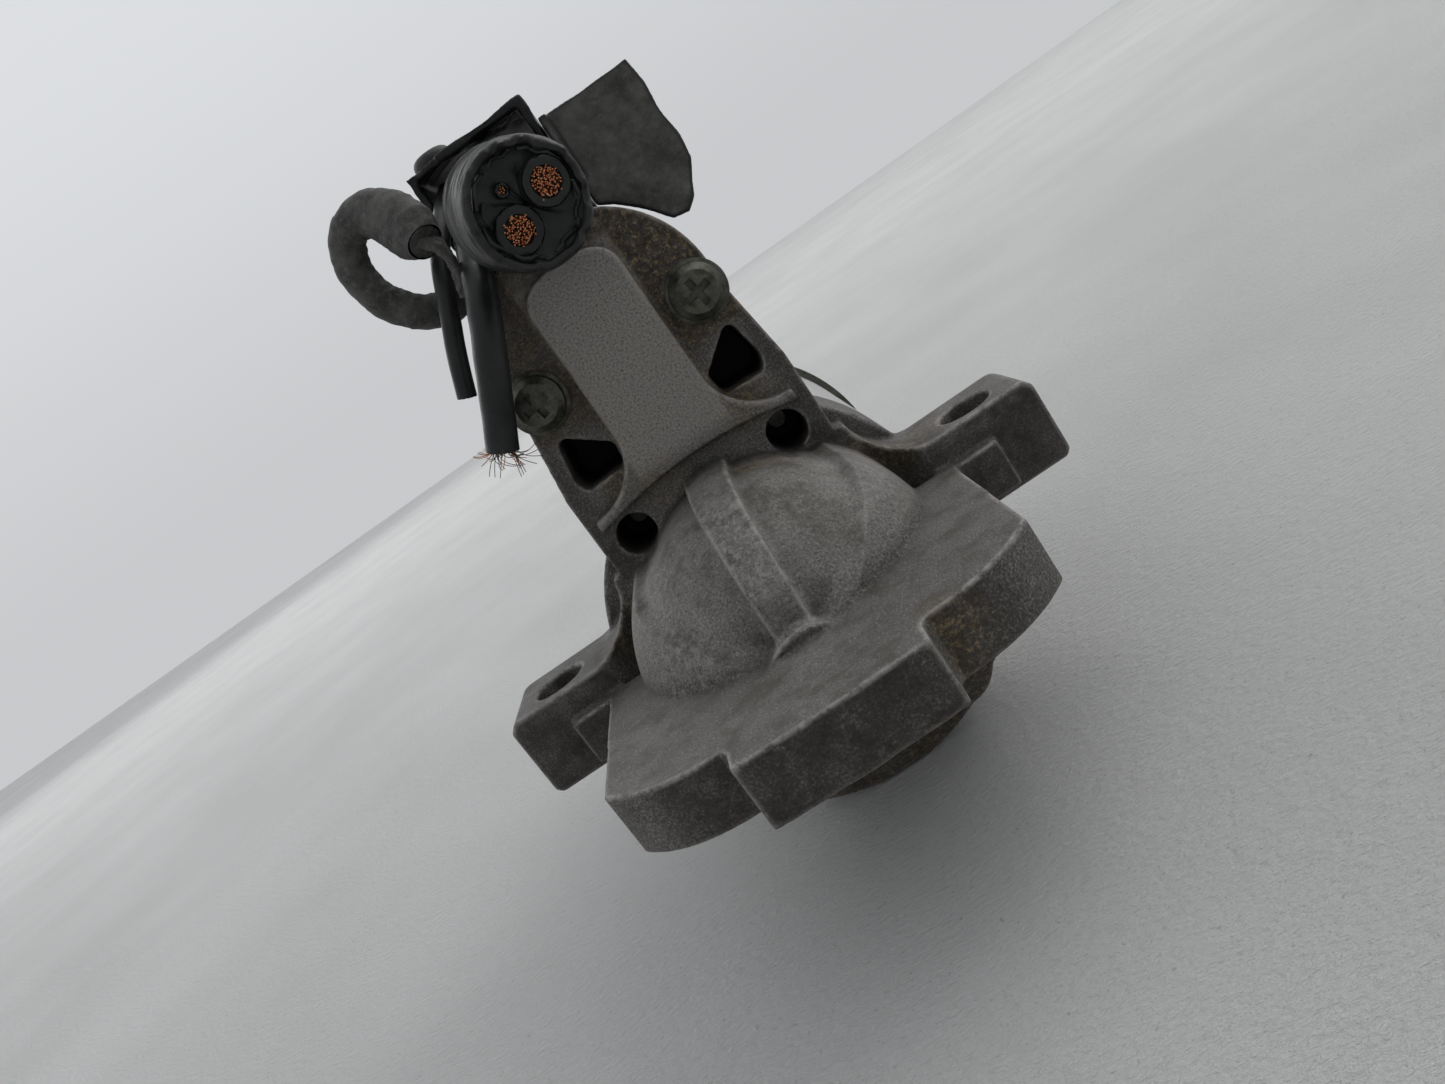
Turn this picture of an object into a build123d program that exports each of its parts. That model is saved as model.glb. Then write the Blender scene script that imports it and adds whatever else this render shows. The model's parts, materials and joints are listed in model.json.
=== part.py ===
from build123d import *
import os
from math import acos, atan2, cos, degrees, hypot, pi, radians, sin, sqrt, tan

# Starter motor for a combustion engine: a permanent-magnet motor with planetary reduction, a solenoid
# on top, and a cast drive-end housing that bolts down on two lugs over the ring gear.
# Millimetres. The motor axis is Y, the nose points to -Y, the solenoid sits at +Z.
# The origin is on the motor axis, in the front face of the solenoid plate.

# --- driving dimensions: housing ---------------------------------------------------------------
SOLENOID_Z = 72.0          # height of the solenoid axis above the motor axis
LOBE_R = 26.5              # round top of the plate in front of the solenoid
PLATE_HALF = 29.3          # half width of the plate below the lobe
PLATE_LOW = 12.0           # lower edge of the plate
PLATE_DEEP = 30.0          # the plate is the front of a block this deep
BODY_R = 43.5              # round body behind the plate
BODY_FRONT, BODY_BACK = 8.0, 34.0
SKIRT_R = 47.3             # lower half of the flange, flush with the front of the lugs
SKIRT_FRONT, SKIRT_BACK = -9.5, 12.0
DOME_R, DOME_CENTRE = 36.5, -16.0
BASE_Z = -5.5              # mounting plane: underside of lip and lugs
LIP_TOP = 8.0
LIP_HALF_BACK, LIP_HALF_FRONT = 45.4, 44.2
LIP_BACK, LIP_CORNER, LIP_FRONT = -9.5, -61.0, -72.5
TONGUE_HALF, TONGUE_FRONT = 19.2, -81.0
LUG_SPACING = 111.0
LUG_HOLE_R = 6.2
LUG_OUT, LUG_IN = 69.0, 46.0
LUG_FRONT, LUG_BACK = -9.5, 14.0
LUG_TOP = 14.5
LUG_HOLE_Y = 0.0
CAVITY_R, CAVITY_FRONT, CAVITY_STEP = 22.0, -40.0, -4.0
CHAMBER_R = 24.0
ROUND_HOLE_R = 4.7
BOLT_X, BOLT_Z = 20.3, 32.6
SCREW_X, SCREW_Z = 20.9, 68.7

# --- driving dimensions: motor and gears -------------------------------------------------------
YOKE_R, YOKE_BORE = 43.4, 41.0
YOKE_END = 112.0
SHAFT_R = 6.0
BUSH_R = 8.0
RUN = 0.05                 # running clearance on the radius
MODULE = 1.5
PRESSURE = radians(25)
SUN_TEETH, PLANET_TEETH, RING_TEETH = 11, 13, 37
PLANET_COUNT = 3
CARRIER_R = MODULE * (SUN_TEETH + PLANET_TEETH) / 2
PINION_MODULE, PINION_TEETH = 2.5, 10
GEAR_FRONT, GEAR_BACK = 46.5, 56.5
PINION_BACK, PINION_LONG = -8.0, 16.0

# --- driving dimensions: solenoid --------------------------------------------------------------
CASE_R, CASE_BORE = 25.5, 23.5
CASE_FRONT, CASE_BACK = 30.0, 77.0
PLUNGER_R = 12.6
LEVER_Y, LEVER_Z = 16.0, 39.0
LEVER_TILT = 8.8           # degrees either side of upright
STUD_TOP, STUD_LOW = 84.0, 60.0

# --- driving dimensions: cables ----------------------------------------------------------------
BATTERY_D, SIGNAL_D, CHARGE_D, IGNITION_D, BRANCH_D = 9.5, 3.0, 7.0, 4.4, 7.4
LOOM_R, LOOM_BORE = 12.4, 11.0
DUCT = (-19.0, 13.0, 20.0, 112.0, 103.0, 125.0)
DUCT_WALL = 1.8

BATTERY_A = [(8.6, -26, 101.5), (3.6, -8.5, 105.6), (4.4, 6, 108.8), (5.8, 22, 110.4), (5.8, 42, 110.5),
             (5.7, 62, 110.5), (5.8, 81.9, 110.6)]
BATTERY_B = [(-0.6, -26, 97.2), (-5.6, -8.5, 101.3), (-5.4, 6, 106.9), (-4.4, 22, 110.3), (-4.4, 42, 110.5),
             (-4.3, 62, 110.5), (-4.4, 81.9, 110.6)]
SIGNAL = [(1.0, -27, 104.6), (-4.2, -9.5, 108.6), (-3.6, 5, 113.0), (-1.8, 20, 117.6), (-1.3, 38, 119.2),
          (-1.5, 60, 119.5)]
CHARGE = [(-13.2, 34, 110.3), (-13.1, 20, 109.2), (-13.6, 7.5, 104.0), (-15.4, -5.5, 95.0),
          (-19.6, -10.6, 85.8), (-25.0, -11.4, 76.0), (-31.3, -10.6, 65.3)]
IGNITION = [(-13.4, 31, 119.2), (-15.0, 18.5, 115.2), (-21.2, 7.6, 105.4), (-25.2, 2.6, 95.0),
            (-29.4, 1.0, 86.8), (-33.0, 1.4, 78.4)]
BRANCH = [(-21.3, 36, 98.8), (-21.3, 26, 98.8), (-28.0, 19, 96.8), (-34.4, 15.8, 100.6), (-38.8, 14.4, 108.0),
          (-38.8, 13.4, 116.4), (-34.0, 12.0, 122.4), (-27.0, 9.0, 121.8), (-22.2, 4.0, 115.6),
          (-19.8, -2.0, 108.6)]


def facing(y):
    """Plane across the motor axis at y, seen from the nose: sketch x is X, sketch y is Z."""
    return Plane.XZ.offset(-y)


SOLENOID_AXIS = Axis((0, 0, SOLENOID_Z), (0, 1, 0))
SOLENOID_PLANE = Plane.XY.offset(SOLENOID_Z)


def turned(profile, plane=Plane.XY, axis=Axis.Y):
    """Solid of revolution of a closed (radius, y) profile."""
    with BuildPart() as made:
        with BuildSketch(plane):
            with BuildLine():
                Polyline(*profile, close=True)
            make_face()
        revolve(axis=axis)
    return made.part


def ring(inner, outer, front, back, plane=Plane.XY, axis=Axis.Y):
    return turned([(inner, front), (outer, front), (outer, back), (inner, back)], plane, axis)


def involute_point(base, radius, turn):
    """Point at the given radius on the involute that leaves the base circle at the angle turn."""
    roll = sqrt(max((radius / base) ** 2 - 1, 0))
    angle = turn + roll - atan2(roll, 1)
    return radius * cos(angle), radius * sin(angle)


def gear_points(module, teeth, phase, tip_up=0.8, root_down=1.15, backlash=0.14):
    """Outline of an external gear; phase is the angle in degrees of one tooth's centre."""
    pitch = module * teeth / 2
    base = pitch * cos(PRESSURE)
    tip, root = pitch + tip_up * module, pitch - root_down * module
    half = (pi * module / 2 - backlash) / 2 / pitch + tan(PRESSURE) - PRESSURE
    start = max(base, root)
    radii = [start + (tip - start) * k / 4 for k in range(5)]
    points = []
    for tooth in range(teeth):
        centre = radians(phase) + tooth * 2 * pi / teeth
        rising = [involute_point(base, r, centre - half) for r in radii]
        falling = [involute_point(base, r, -centre - half) for r in reversed(radii)]
        if root < base:
            points.append((root * cos(centre - half), root * sin(centre - half)))
        points += rising
        points += [(x, -y) for x, y in falling]
        if root < base:
            points.append((root * cos(centre + half), root * sin(centre + half)))
    return points


def mesh_phase(angle, sun_phase):
    """Tooth angle of a planet at the given place, in mesh with the sun."""
    sun_pitch = 360 / SUN_TEETH
    ahead = round((angle - sun_phase) / sun_pitch) * sun_pitch + sun_phase - angle
    return angle + 180 - ahead * SUN_TEETH / PLANET_TEETH + 180 / PLANET_TEETH


def cord(route, diameter):
    """Tube along straight runs joined by tangent arcs, each as large as its two runs allow."""
    points = [Vector(*p) for p in route]
    radii = []
    for before, here, after in zip(points, points[1:], points[2:]):
        shorter = min((here - before).length, (after - here).length)
        turn = (here - before).get_angle(after - here)
        radii.append(0.45 * shorter / tan(radians(turn) / 2))
    with BuildPart() as tube:
        with BuildLine() as path:
            FilletPolyline(*route, radius=radii)
        with BuildSketch(Plane(origin=path.line @ 0, z_dir=path.line % 0)):
            Circle(diameter / 2)
        sweep()
    section = pi * diameter ** 2 / 4
    length = sum(edge.length for edge in path.edges())
    print("radii", [round(r, 1) for r in radii], "length", round(length, 1),
          "volume ratio", round(tube.part.volume / (section * length), 4))
    return tube.part


def coil(centre, direction, radius, wire, height, turns):
    """Helical spring with the given mean radius."""
    helix = Helix(pitch=height / turns, height=height, radius=radius, center=centre, direction=direction)
    with BuildPart() as spring:
        with BuildLine() as path:
            add(helix)
        with BuildSketch(Plane(origin=path.line @ 0, z_dir=path.line % 0)):
            Circle(wire / 2)
        sweep(is_frenet=True)
    return spring.part


os.makedirs("parts", exist_ok=True)


def save(part, name):
    part.label = name
    export_step(part, "parts/" + name + ".step")


# --- drive-end housing ---------------------------------------------------------------------------
# Mounting arm: its plan and its front view, crossed.
with BuildPart() as arm_plan:
    with BuildSketch(Plane.XY.offset(BASE_Z)):
        with BuildLine():
            Polyline((LUG_OUT, LUG_FRONT), (LUG_OUT, LUG_BACK - 3), (LUG_OUT - 3, LUG_BACK), (26, LUG_BACK),
                     (26, 1), (33, 0), (42, LUG_FRONT), close=True)
        make_face()
    extrude(amount=40)
with BuildPart() as arm_front:
    with BuildSketch(facing(LUG_BACK)):
        with BuildLine():
            front = Polyline((LUG_OUT - 1.5, BASE_Z), (LUG_OUT, BASE_Z + 1.5), (LUG_OUT, LUG_TOP - 2),
                             (LUG_OUT - 2, LUG_TOP), (44, LUG_TOP))
            ThreePointArc(front @ 1, (35.6, 18.2), (31.5, 26.5))
            Polyline((31.5, 26.5), (24, 27.5), (24, BASE_Z), (LUG_OUT - 1.5, BASE_Z))
        make_face()
    extrude(amount=LUG_BACK - LUG_FRONT)
right_arm = arm_plan.part & arm_front.part
left_arm = mirror(right_arm, about=Plane.YZ)

# Recessed panels of the dome, between its middle rib and its side wings.
panel_outer = turned([(0, DOME_CENTRE), (DOME_R + 2, DOME_CENTRE), (DOME_R + 2, 1), (0, 1)]) + Pos(0, DOME_CENTRE, 0) * Sphere(DOME_R + 2)
panel_inner = turned([(0, DOME_CENTRE), (DOME_R - 2.3, DOME_CENTRE), (DOME_R - 2.3, 1), (0, 1)]) + Pos(0, DOME_CENTRE, 0) * Sphere(DOME_R - 2.3)
with BuildPart() as panel_zone:
    with BuildSketch(Plane.YZ):
        with BuildLine():
            Polyline((0, 26.5), (-20, 24.5), (-30, 21.4), (-40, 16.9), (-46, 12.4), (-53, 5), (-53, 50), (0, 50), close=True)
        make_face()
    extrude(amount=40, both=True)
    with BuildSketch(Plane.XY.offset(0)):
        with BuildLine():
            Polyline((5.6, 2), (4.0, -54), (-4.0, -54), (-5.6, 2), close=True)
        make_face()
    extrude(amount=50, mode=Mode.SUBTRACT)
panels = panel_zone.part & (panel_outer - panel_inner)

with BuildPart() as drive_end_housing:
    # dome over the pinion
    with BuildSketch(Plane.XY):
        with BuildLine():
            cap = CenterArc((0, DOME_CENTRE), DOME_R, 270, 90)
            Polyline(cap @ 1, (DOME_R, BODY_FRONT), (0, BODY_FRONT), cap @ 0)
        make_face()
    revolve(axis=Axis.Y)
    split(bisect_by=Plane.XY.offset(BASE_Z), keep=Keep.TOP)
    add(panels, mode=Mode.SUBTRACT)
    # lip with its tongue
    with BuildSketch(Plane.XY.offset(BASE_Z)):
        with BuildLine():
            right = Polyline((LIP_HALF_BACK, LIP_BACK), (LIP_HALF_FRONT, LIP_CORNER))
            curve = ThreePointArc(right @ 1, (35, -68.9), (22.5, LIP_FRONT))
            Polyline(curve @ 1, (20.4, LIP_FRONT), (TONGUE_HALF, LIP_FRONT - 1.5), (TONGUE_HALF - 0.4, TONGUE_FRONT),
                     (0, TONGUE_FRONT - 0.8))
            Polyline((LIP_HALF_BACK, LIP_BACK), (0, LIP_BACK))
            mirror(about=Plane.YZ)
        make_face()
    extrude(amount=LIP_TOP - BASE_Z)
    # plate block behind its outline
    with BuildSketch(facing(PLATE_DEEP)):
        with Locations((0, SOLENOID_Z)):
            Circle(LOBE_R)
        with BuildLine():
            Polyline((26, PLATE_LOW), (PLATE_HALF, PLATE_LOW + 7), (PLATE_HALF, 47), (LOBE_R - 0.25, 68),
                     (-LOBE_R + 0.25, 68), (-PLATE_HALF, 47), (-PLATE_HALF, PLATE_LOW + 7), (-26, PLATE_LOW),
                     close=True)
        make_face()
    extrude(amount=PLATE_DEEP)
    # raised band between the solenoid screws, flaring into the shoulder
    with BuildSketch(facing(0)):
        with BuildLine():
            side = Line((11.6, 52), (11.3, 83.5))
            corner = ThreePointArc(side @ 1, (9.7, 87.2), (6.2, 89.2))
            top = ThreePointArc(corner @ 1, (0, 90.0), (-6.2, 89.2))
            corner2 = ThreePointArc(top @ 1, (-9.7, 87.2), (-11.3, 83.5))
            side2 = Line(corner2 @ 1, (-11.6, 52))
            ThreePointArc(side2 @ 1, (-15.2, 45), (-26, 40.5))
            Line((-26, 40.5), (-26, 37.5))
            low = ThreePointArc((-26, 37.5), (0, 41), (26, 37.5))
            Line(low @ 1, (26, 40.5))
            ThreePointArc((26, 40.5), (15.2, 45), (11.6, 52))
        make_face()
    extrude(amount=4)
    # round body and its lower shoulder
    with BuildSketch(facing(BODY_BACK)):
        Circle(BODY_R)
    extrude(amount=BODY_BACK - BODY_FRONT)
    with BuildSketch(facing(SKIRT_BACK)):
        Circle(SKIRT_R)
        with Locations((0, 60)):
            Rectangle(120, 110, mode=Mode.SUBTRACT)
    extrude(amount=SKIRT_BACK - SKIRT_FRONT)
    with BuildSketch(facing(SKIRT_BACK + 4)):
        with Locations((BOLT_X, -BOLT_Z), (-BOLT_X, -BOLT_Z)):
            Circle(10)
    extrude(amount=SKIRT_BACK + 4 - SKIRT_FRONT)
    # arms, lugs and their square pads
    add([right_arm, left_arm])
    with BuildSketch(facing(LUG_FRONT)):
        with Locations((50, 2), (-50, 2)):
            Rectangle(11.5, 11.5)
    extrude(amount=3)
    # boss round the front bearing
    with BuildSketch(facing(CAVITY_FRONT)):
        Circle(11)
    extrude(amount=13)
    # pinion space, clutch space and lever chamber
    with BuildSketch(facing(BODY_BACK)):
        Circle(CHAMBER_R)
    extrude(amount=BODY_BACK - CAVITY_STEP, mode=Mode.SUBTRACT)
    with BuildSketch(facing(CAVITY_STEP)):
        Circle(CAVITY_R)
    extrude(amount=CAVITY_STEP - CAVITY_FRONT, mode=Mode.SUBTRACT)
    with BuildSketch(facing(BODY_BACK)):
        with Locations((0, 42)):
            Rectangle(18, 84)
    extrude(amount=BODY_BACK - 4.5, mode=Mode.SUBTRACT)
    with BuildSketch(facing(CAVITY_FRONT)):
        Circle(BUSH_R - 1)
    extrude(amount=10, mode=Mode.SUBTRACT)
    with BuildSketch(facing(PLATE_DEEP)):
        with Locations((0, SOLENOID_Z)):
            Circle(15)
    extrude(amount=7, mode=Mode.SUBTRACT)
    # pin hole of the shift lever
    with BuildSketch(Plane.YZ.offset(-14)):
        with Locations((LEVER_Y, LEVER_Z)):
            Circle(3)
    extrude(amount=28, mode=Mode.SUBTRACT)
    # deep cored pockets under the screws
    with BuildSketch(facing(22)):
        for side in (1, -1):
            with BuildLine():
                Polyline((side * 22.8, 60.5), (side * 12.6, 52.5), (side * 13.4, 47), (side * 23.6, 46.6),
                         (side * 24.8, 50), close=True)
            make_face()
        fillet(vertices(), 1.6)
    extrude(amount=30, mode=Mode.SUBTRACT)
    # screw holes, and the round cored holes with the through-bolt threads behind them
    with BuildSketch(facing(PLATE_DEEP)):
        with Locations((SCREW_X, SCREW_Z), (-SCREW_X, SCREW_Z)):
            Circle(3.2)
    extrude(amount=PLATE_DEEP, mode=Mode.SUBTRACT)
    with BuildSketch(facing(20)):
        with Locations((BOLT_X, BOLT_Z), (-BOLT_X, BOLT_Z)):
            Circle(ROUND_HOLE_R)
    extrude(amount=30, mode=Mode.SUBTRACT)
    with BuildSketch(facing(BODY_BACK)):
        with GridLocations(2 * BOLT_X, 2 * BOLT_Z, 2, 2):
            Circle(2.25)
    extrude(amount=14.5, mode=Mode.SUBTRACT)
    # lug holes
    with BuildSketch(Plane.XY.offset(BASE_Z)):
        with Locations((LUG_SPACING / 2, LUG_HOLE_Y), (-LUG_SPACING / 2, LUG_HOLE_Y)):
            Circle(LUG_HOLE_R)
    extrude(amount=30, mode=Mode.SUBTRACT)
save(drive_end_housing.part, "drive_end_housing")

# --- fixed pieces of the nose and the lever -------------------------------------------------------
save(ring(SHAFT_R - 1 + RUN, BUSH_R - 1, CAVITY_FRONT - 10, CAVITY_FRONT), "nose_bush")
with BuildPart() as lever_pin:
    with BuildSketch(Plane.YZ.offset(-13.5)):
        with Locations((LEVER_Y, LEVER_Z)):
            Circle(2.95)
    extrude(amount=27)
save(lever_pin.part, "lever_pin")
with BuildPart() as lever_seal:
    with BuildSketch(facing(33.8)):
        with Locations((0, 45.0)):
            Rectangle(17.6, 3)
    extrude(amount=3.7)
    with BuildSketch(facing(29.8)):
        with Locations((0, 47.5)):
            Rectangle(17.6, 8)
    extrude(amount=5.5)
save(lever_seal.part, "lever_seal")

with BuildPart() as solenoid_screws:
    for x in (SCREW_X, -SCREW_X):
        with BuildSketch(Plane.XY.offset(SCREW_Z)):
            with BuildLine():
                Polyline((x, 0), (x + 7, 0), (x + 7, -1), (x + 6.2, -1.4), (x + 6, -3.6), (x + 4.6, -4.9), (x, -5.3),
                         close=True)
            make_face()
        revolve(axis=Axis((x, 0, SCREW_Z), (0, 1, 0)))
        with BuildSketch(facing(0)):
            with Locations((x, SCREW_Z)):
                Circle(3.0)
        extrude(amount=-37.5)
        with BuildSketch(facing(-2.4)):
            with Locations((x, SCREW_Z)):
                Rectangle(6.4, 1.7, rotation=12)
                Rectangle(1.7, 6.4, rotation=12)
        extrude(amount=4, mode=Mode.SUBTRACT)
save(solenoid_screws.part, "solenoid_screws")

# --- reduction gear ------------------------------------------------------------------------------
with BuildPart() as centre_bracket:
    with BuildSketch(facing(39)):
        Circle(YOKE_BORE)
        Circle(BUSH_R, mode=Mode.SUBTRACT)
        with GridLocations(2 * BOLT_X, 2 * BOLT_Z, 2, 2):
            Circle(2.6, mode=Mode.SUBTRACT)
    extrude(amount=5)
    with BuildSketch(facing(34)):
        Circle(12)
        Circle(BUSH_R, mode=Mode.SUBTRACT)
    extrude(amount=4)
save(centre_bracket.part, "centre_bracket")
save(ring(SHAFT_R + RUN, BUSH_R, 30, 39), "centre_bush")

RING_PITCH = MODULE * RING_TEETH / 2
with BuildPart() as annulus_gear:
    with BuildSketch(facing(58)):
        Circle(33.5)
        with BuildLine():
            Polyline(*gear_points(MODULE, RING_TEETH, 90, 0.95, 0.8, -0.14), close=True)
        make_face(mode=Mode.SUBTRACT)
    extrude(amount=58 - 39)
    with BuildSketch(facing(46)):
        Circle(RING_PITCH + 1.6)
    extrude(amount=7, mode=Mode.SUBTRACT)
save(annulus_gear.part, "annulus_gear")

with BuildPart() as planet_carrier:
    with BuildSketch(facing(45.5)):
        Circle(24)
    extrude(amount=5)
    with BuildSketch(facing(40.5)):
        Circle(SHAFT_R)
    extrude(amount=40.5 + 38)
    with BuildSketch(facing(-38)):
        Circle(SHAFT_R - 1)
    extrude(amount=11)
    with BuildSketch(facing(45.5)):
        Circle(3.5 + RUN)
        with PolarLocations(CARRIER_R, PLANET_COUNT, 90):
            Circle(2.5)
    extrude(amount=5, mode=Mode.SUBTRACT)
save(planet_carrier.part, "planet_carrier")
with BuildPart() as planet_pins:
    with BuildSketch(facing(58)):
        with PolarLocations(CARRIER_R, PLANET_COUNT, 90):
            Circle(2.5)
    extrude(amount=58 - 40.6)
save(planet_pins.part, "planet_pins")
for number in range(PLANET_COUNT):
    place = 90 + number * 360 / PLANET_COUNT
    centre = (CARRIER_R * cos(radians(place)), CARRIER_R * sin(radians(place)))
    with BuildPart() as planet_gear:
        with BuildSketch(facing(GEAR_BACK)):
            outline = gear_points(MODULE, PLANET_TEETH, mesh_phase(place, 90))
            with BuildLine():
                Polyline(*[(centre[0] + x, centre[1] + z) for x, z in outline], close=True)
            make_face()
            with Locations(centre):
                Circle(2.5 + RUN, mode=Mode.SUBTRACT)
        extrude(amount=GEAR_BACK - GEAR_FRONT)
    save(planet_gear.part, "planet_gear_" + str(number + 1))
save(ring(SHAFT_R, 9, -39.6, -36.8), "stop_collar")

# --- clutch and pinion ---------------------------------------------------------------------------
save(turned([(14, -7), (20, -7), (20, 13), (13.5, 14), (13.5, 18), (10.5, 18), (10.5, 26), (13.5, 26), (13.5, 29),
             (SHAFT_R + RUN, 29), (SHAFT_R + RUN, 8), (14, 8)]), "clutch_shell")
with BuildPart() as clutch_rollers:
    with BuildSketch(facing(6)):
        with PolarLocations(11.55, 6):
            Circle(2.35)
    extrude(amount=11)
save(clutch_rollers.part, "clutch_rollers")
with BuildPart() as pinion:
    with BuildSketch(facing(PINION_BACK)):
        with BuildLine():
            Polyline(*gear_points(PINION_MODULE, PINION_TEETH, 270), close=True)
        make_face()
    extrude(amount=PINION_LONG)
    with BuildSketch(facing(7)):
        Circle(9)
    extrude(amount=7 - PINION_BACK)
    with BuildSketch(facing(7)):
        Circle(SHAFT_R + RUN)
    extrude(amount=40, mode=Mode.SUBTRACT)
save(pinion.part, "pinion")

# --- shift lever: fork below, tip above, drawn at rest with its tilt -------------------------------
LEVER_LEAN = Plane(origin=(0, LEVER_Y, LEVER_Z), x_dir=(0, cos(radians(LEVER_TILT)), sin(radians(LEVER_TILT))),
                   z_dir=(1, 0, 0))
with BuildPart() as shift_lever:
    with BuildSketch(LEVER_LEAN.offset(-2.4)):
        with Locations((0, 16)):
            Rectangle(4.6, 34)
    extrude(amount=4.8)
    with BuildSketch(LEVER_LEAN.offset(-7.5)):
        Circle(6.5)
    extrude(amount=15)
    for side in (11.4, -15.4):
        with BuildSketch(LEVER_LEAN.offset(side)):
            with Locations((0, -33.25)):
                Rectangle(5, 22.5)
        extrude(amount=4)
    with BuildSketch(LEVER_LEAN.offset(-15.4)):
        with Locations((0, -23.6)):
            Rectangle(5, 3.2)
    extrude(amount=30.8)
    with BuildSketch(LEVER_LEAN.offset(-6)):
        with Locations((0, -14)):
            Rectangle(5, 17.5)
    extrude(amount=12)
    with BuildSketch(LEVER_LEAN.offset(-20)):
        Circle(3)
    extrude(amount=40, mode=Mode.SUBTRACT)
save(shift_lever.part, "shift_lever")

# --- yoke, magnets, covers -----------------------------------------------------------------------
with BuildPart() as yoke_tube:
    with BuildSketch(facing(YOKE_END)):
        Circle(YOKE_R)
        Circle(YOKE_BORE, mode=Mode.SUBTRACT)
    extrude(amount=YOKE_END - BODY_BACK)
    with BuildSketch(Plane.XY.offset(30)):
        with Locations((0, 100)):
            Circle(6)
    extrude(amount=20, mode=Mode.SUBTRACT)
save(yoke_tube.part, "yoke_tube")
with BuildPart() as field_magnets:
    with BuildSketch(facing(92)):
        for place in range(30, 390, 60):
            with BuildLine():
                outer = CenterArc((0, 0), 40.9, place - 22, 44)
                inner = CenterArc((0, 0), 34.7, place - 22, 44)
                Line(outer @ 0, inner @ 0)
                Line(outer @ 1, inner @ 1)
            make_face()
    extrude(amount=30)
save(field_magnets.part, "field_magnets")
rear_blank = turned([(BUSH_R, 124), (39.5, 124), (41, 121), (41, 112), (45.4, 112), (45.4, 118), (41.5, 127.5),
                     (15, 127.5), (13.5, 136), (0, 136), (0, 133), (BUSH_R, 133)])
with BuildPart() as rear_cover:
    add(rear_blank)
    with BuildSketch(facing(112)):
        with GridLocations(2 * BOLT_X, 2 * BOLT_Z, 2, 2):
            Circle(4)
    extrude(amount=-13)
    with BuildSketch(facing(140)):
        with GridLocations(2 * BOLT_X, 2 * BOLT_Z, 2, 2):
            Circle(2.5)
    extrude(amount=40, mode=Mode.SUBTRACT)
save(rear_cover.part, "rear_cover")
save(ring(5 + RUN, BUSH_R, 120, 133), "rear_bush")
with BuildPart() as through_bolts:
    with BuildSketch(facing(127.5)):
        with GridLocations(2 * BOLT_X, 2 * BOLT_Z, 2, 2):
            Circle(2.25)
    extrude(amount=127.5 - 22)
    with BuildSketch(facing(127.5)):
        with GridLocations(2 * BOLT_X, 2 * BOLT_Z, 2, 2):
            Circle(5)
    extrude(amount=-1)
    with BuildSketch(facing(128.5)):
        with GridLocations(2 * BOLT_X, 2 * BOLT_Z, 2, 2):
            RegularPolygon(4.2, 6)
    extrude(amount=-3.6)
save(through_bolts.part, "through_bolts")

# --- brush gear ----------------------------------------------------------------------------------
with BuildPart() as brush_holder:
    with BuildSketch(facing(108.5)):
        Circle(40.8)
        Circle(17, mode=Mode.SUBTRACT)
        with GridLocations(2 * BOLT_X, 2 * BOLT_Z, 2, 2):
            Circle(3, mode=Mode.SUBTRACT)
    extrude(amount=2)
    with BuildSketch(facing(106.5)):
        with PolarLocations(28.5, 4, 45):
            Rectangle(19, 11.4)
            Rectangle(20, 8.4, mode=Mode.SUBTRACT)
    extrude(amount=9.5)
save(brush_holder.part, "brush_holder")
with BuildPart() as brushes:
    with BuildSketch(facing(106.2)):
        with PolarLocations(21.5, 4, 45):
            Rectangle(11.6, 8)
    extrude(amount=8.6)
save(brushes.part, "brushes")
brush_springs = []
for place in range(45, 405, 90):
    ray = (cos(radians(place)), 0, sin(radians(place)))
    brush_springs.append(coil((28.3 * ray[0], 101.8, 28.3 * ray[2]), ray, 2.9, 0.9, 8.6, 5))
with BuildPart() as brush_spring_set:
    add(brush_springs)
save(brush_spring_set.part, "brush_springs")

# --- armature ------------------------------------------------------------------------------------
with BuildPart() as armature_shaft:
    with BuildSketch(facing(132)):
        Circle(5)
    extrude(amount=132 - 58)
    with BuildSketch(facing(58)):
        with BuildLine():
            Polyline(*gear_points(MODULE, SUN_TEETH, 90), close=True)
        make_face()
    extrude(amount=58 - GEAR_FRONT)
    with BuildSketch(facing(GEAR_FRONT)):
        Circle(3.5)
    extrude(amount=GEAR_FRONT - 41.5)
save(armature_shaft.part, "armature_shaft")
with BuildPart() as armature_core:
    with BuildSketch(facing(90)):
        Circle(34)
        Circle(5, mode=Mode.SUBTRACT)
        with PolarLocations(30.2, 20):
            Rectangle(7.8, 2.2, mode=Mode.SUBTRACT)
            Circle(2.3, mode=Mode.SUBTRACT)
    extrude(amount=26)
save(armature_core.part, "armature_core")
with BuildPart() as armature_windings:
    for back in (64, 95):
        with BuildSketch(facing(back)):
            Circle(31.5)
            Circle(12 if back == 64 else 15.2, mode=Mode.SUBTRACT)
            with PolarLocations(30.2, 20, 9):
                Rectangle(5, 1.8, mode=Mode.SUBTRACT)
        extrude(amount=4 if back == 64 else 5)
save(armature_windings.part, "armature_windings")
with BuildPart() as commutator:
    with BuildSketch(facing(111)):
        Circle(15)
        Circle(5, mode=Mode.SUBTRACT)
        with PolarLocations(14.2, 20):
            Rectangle(2, 0.7, mode=Mode.SUBTRACT)
    extrude(amount=15.6)
save(commutator.part, "commutator")

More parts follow.
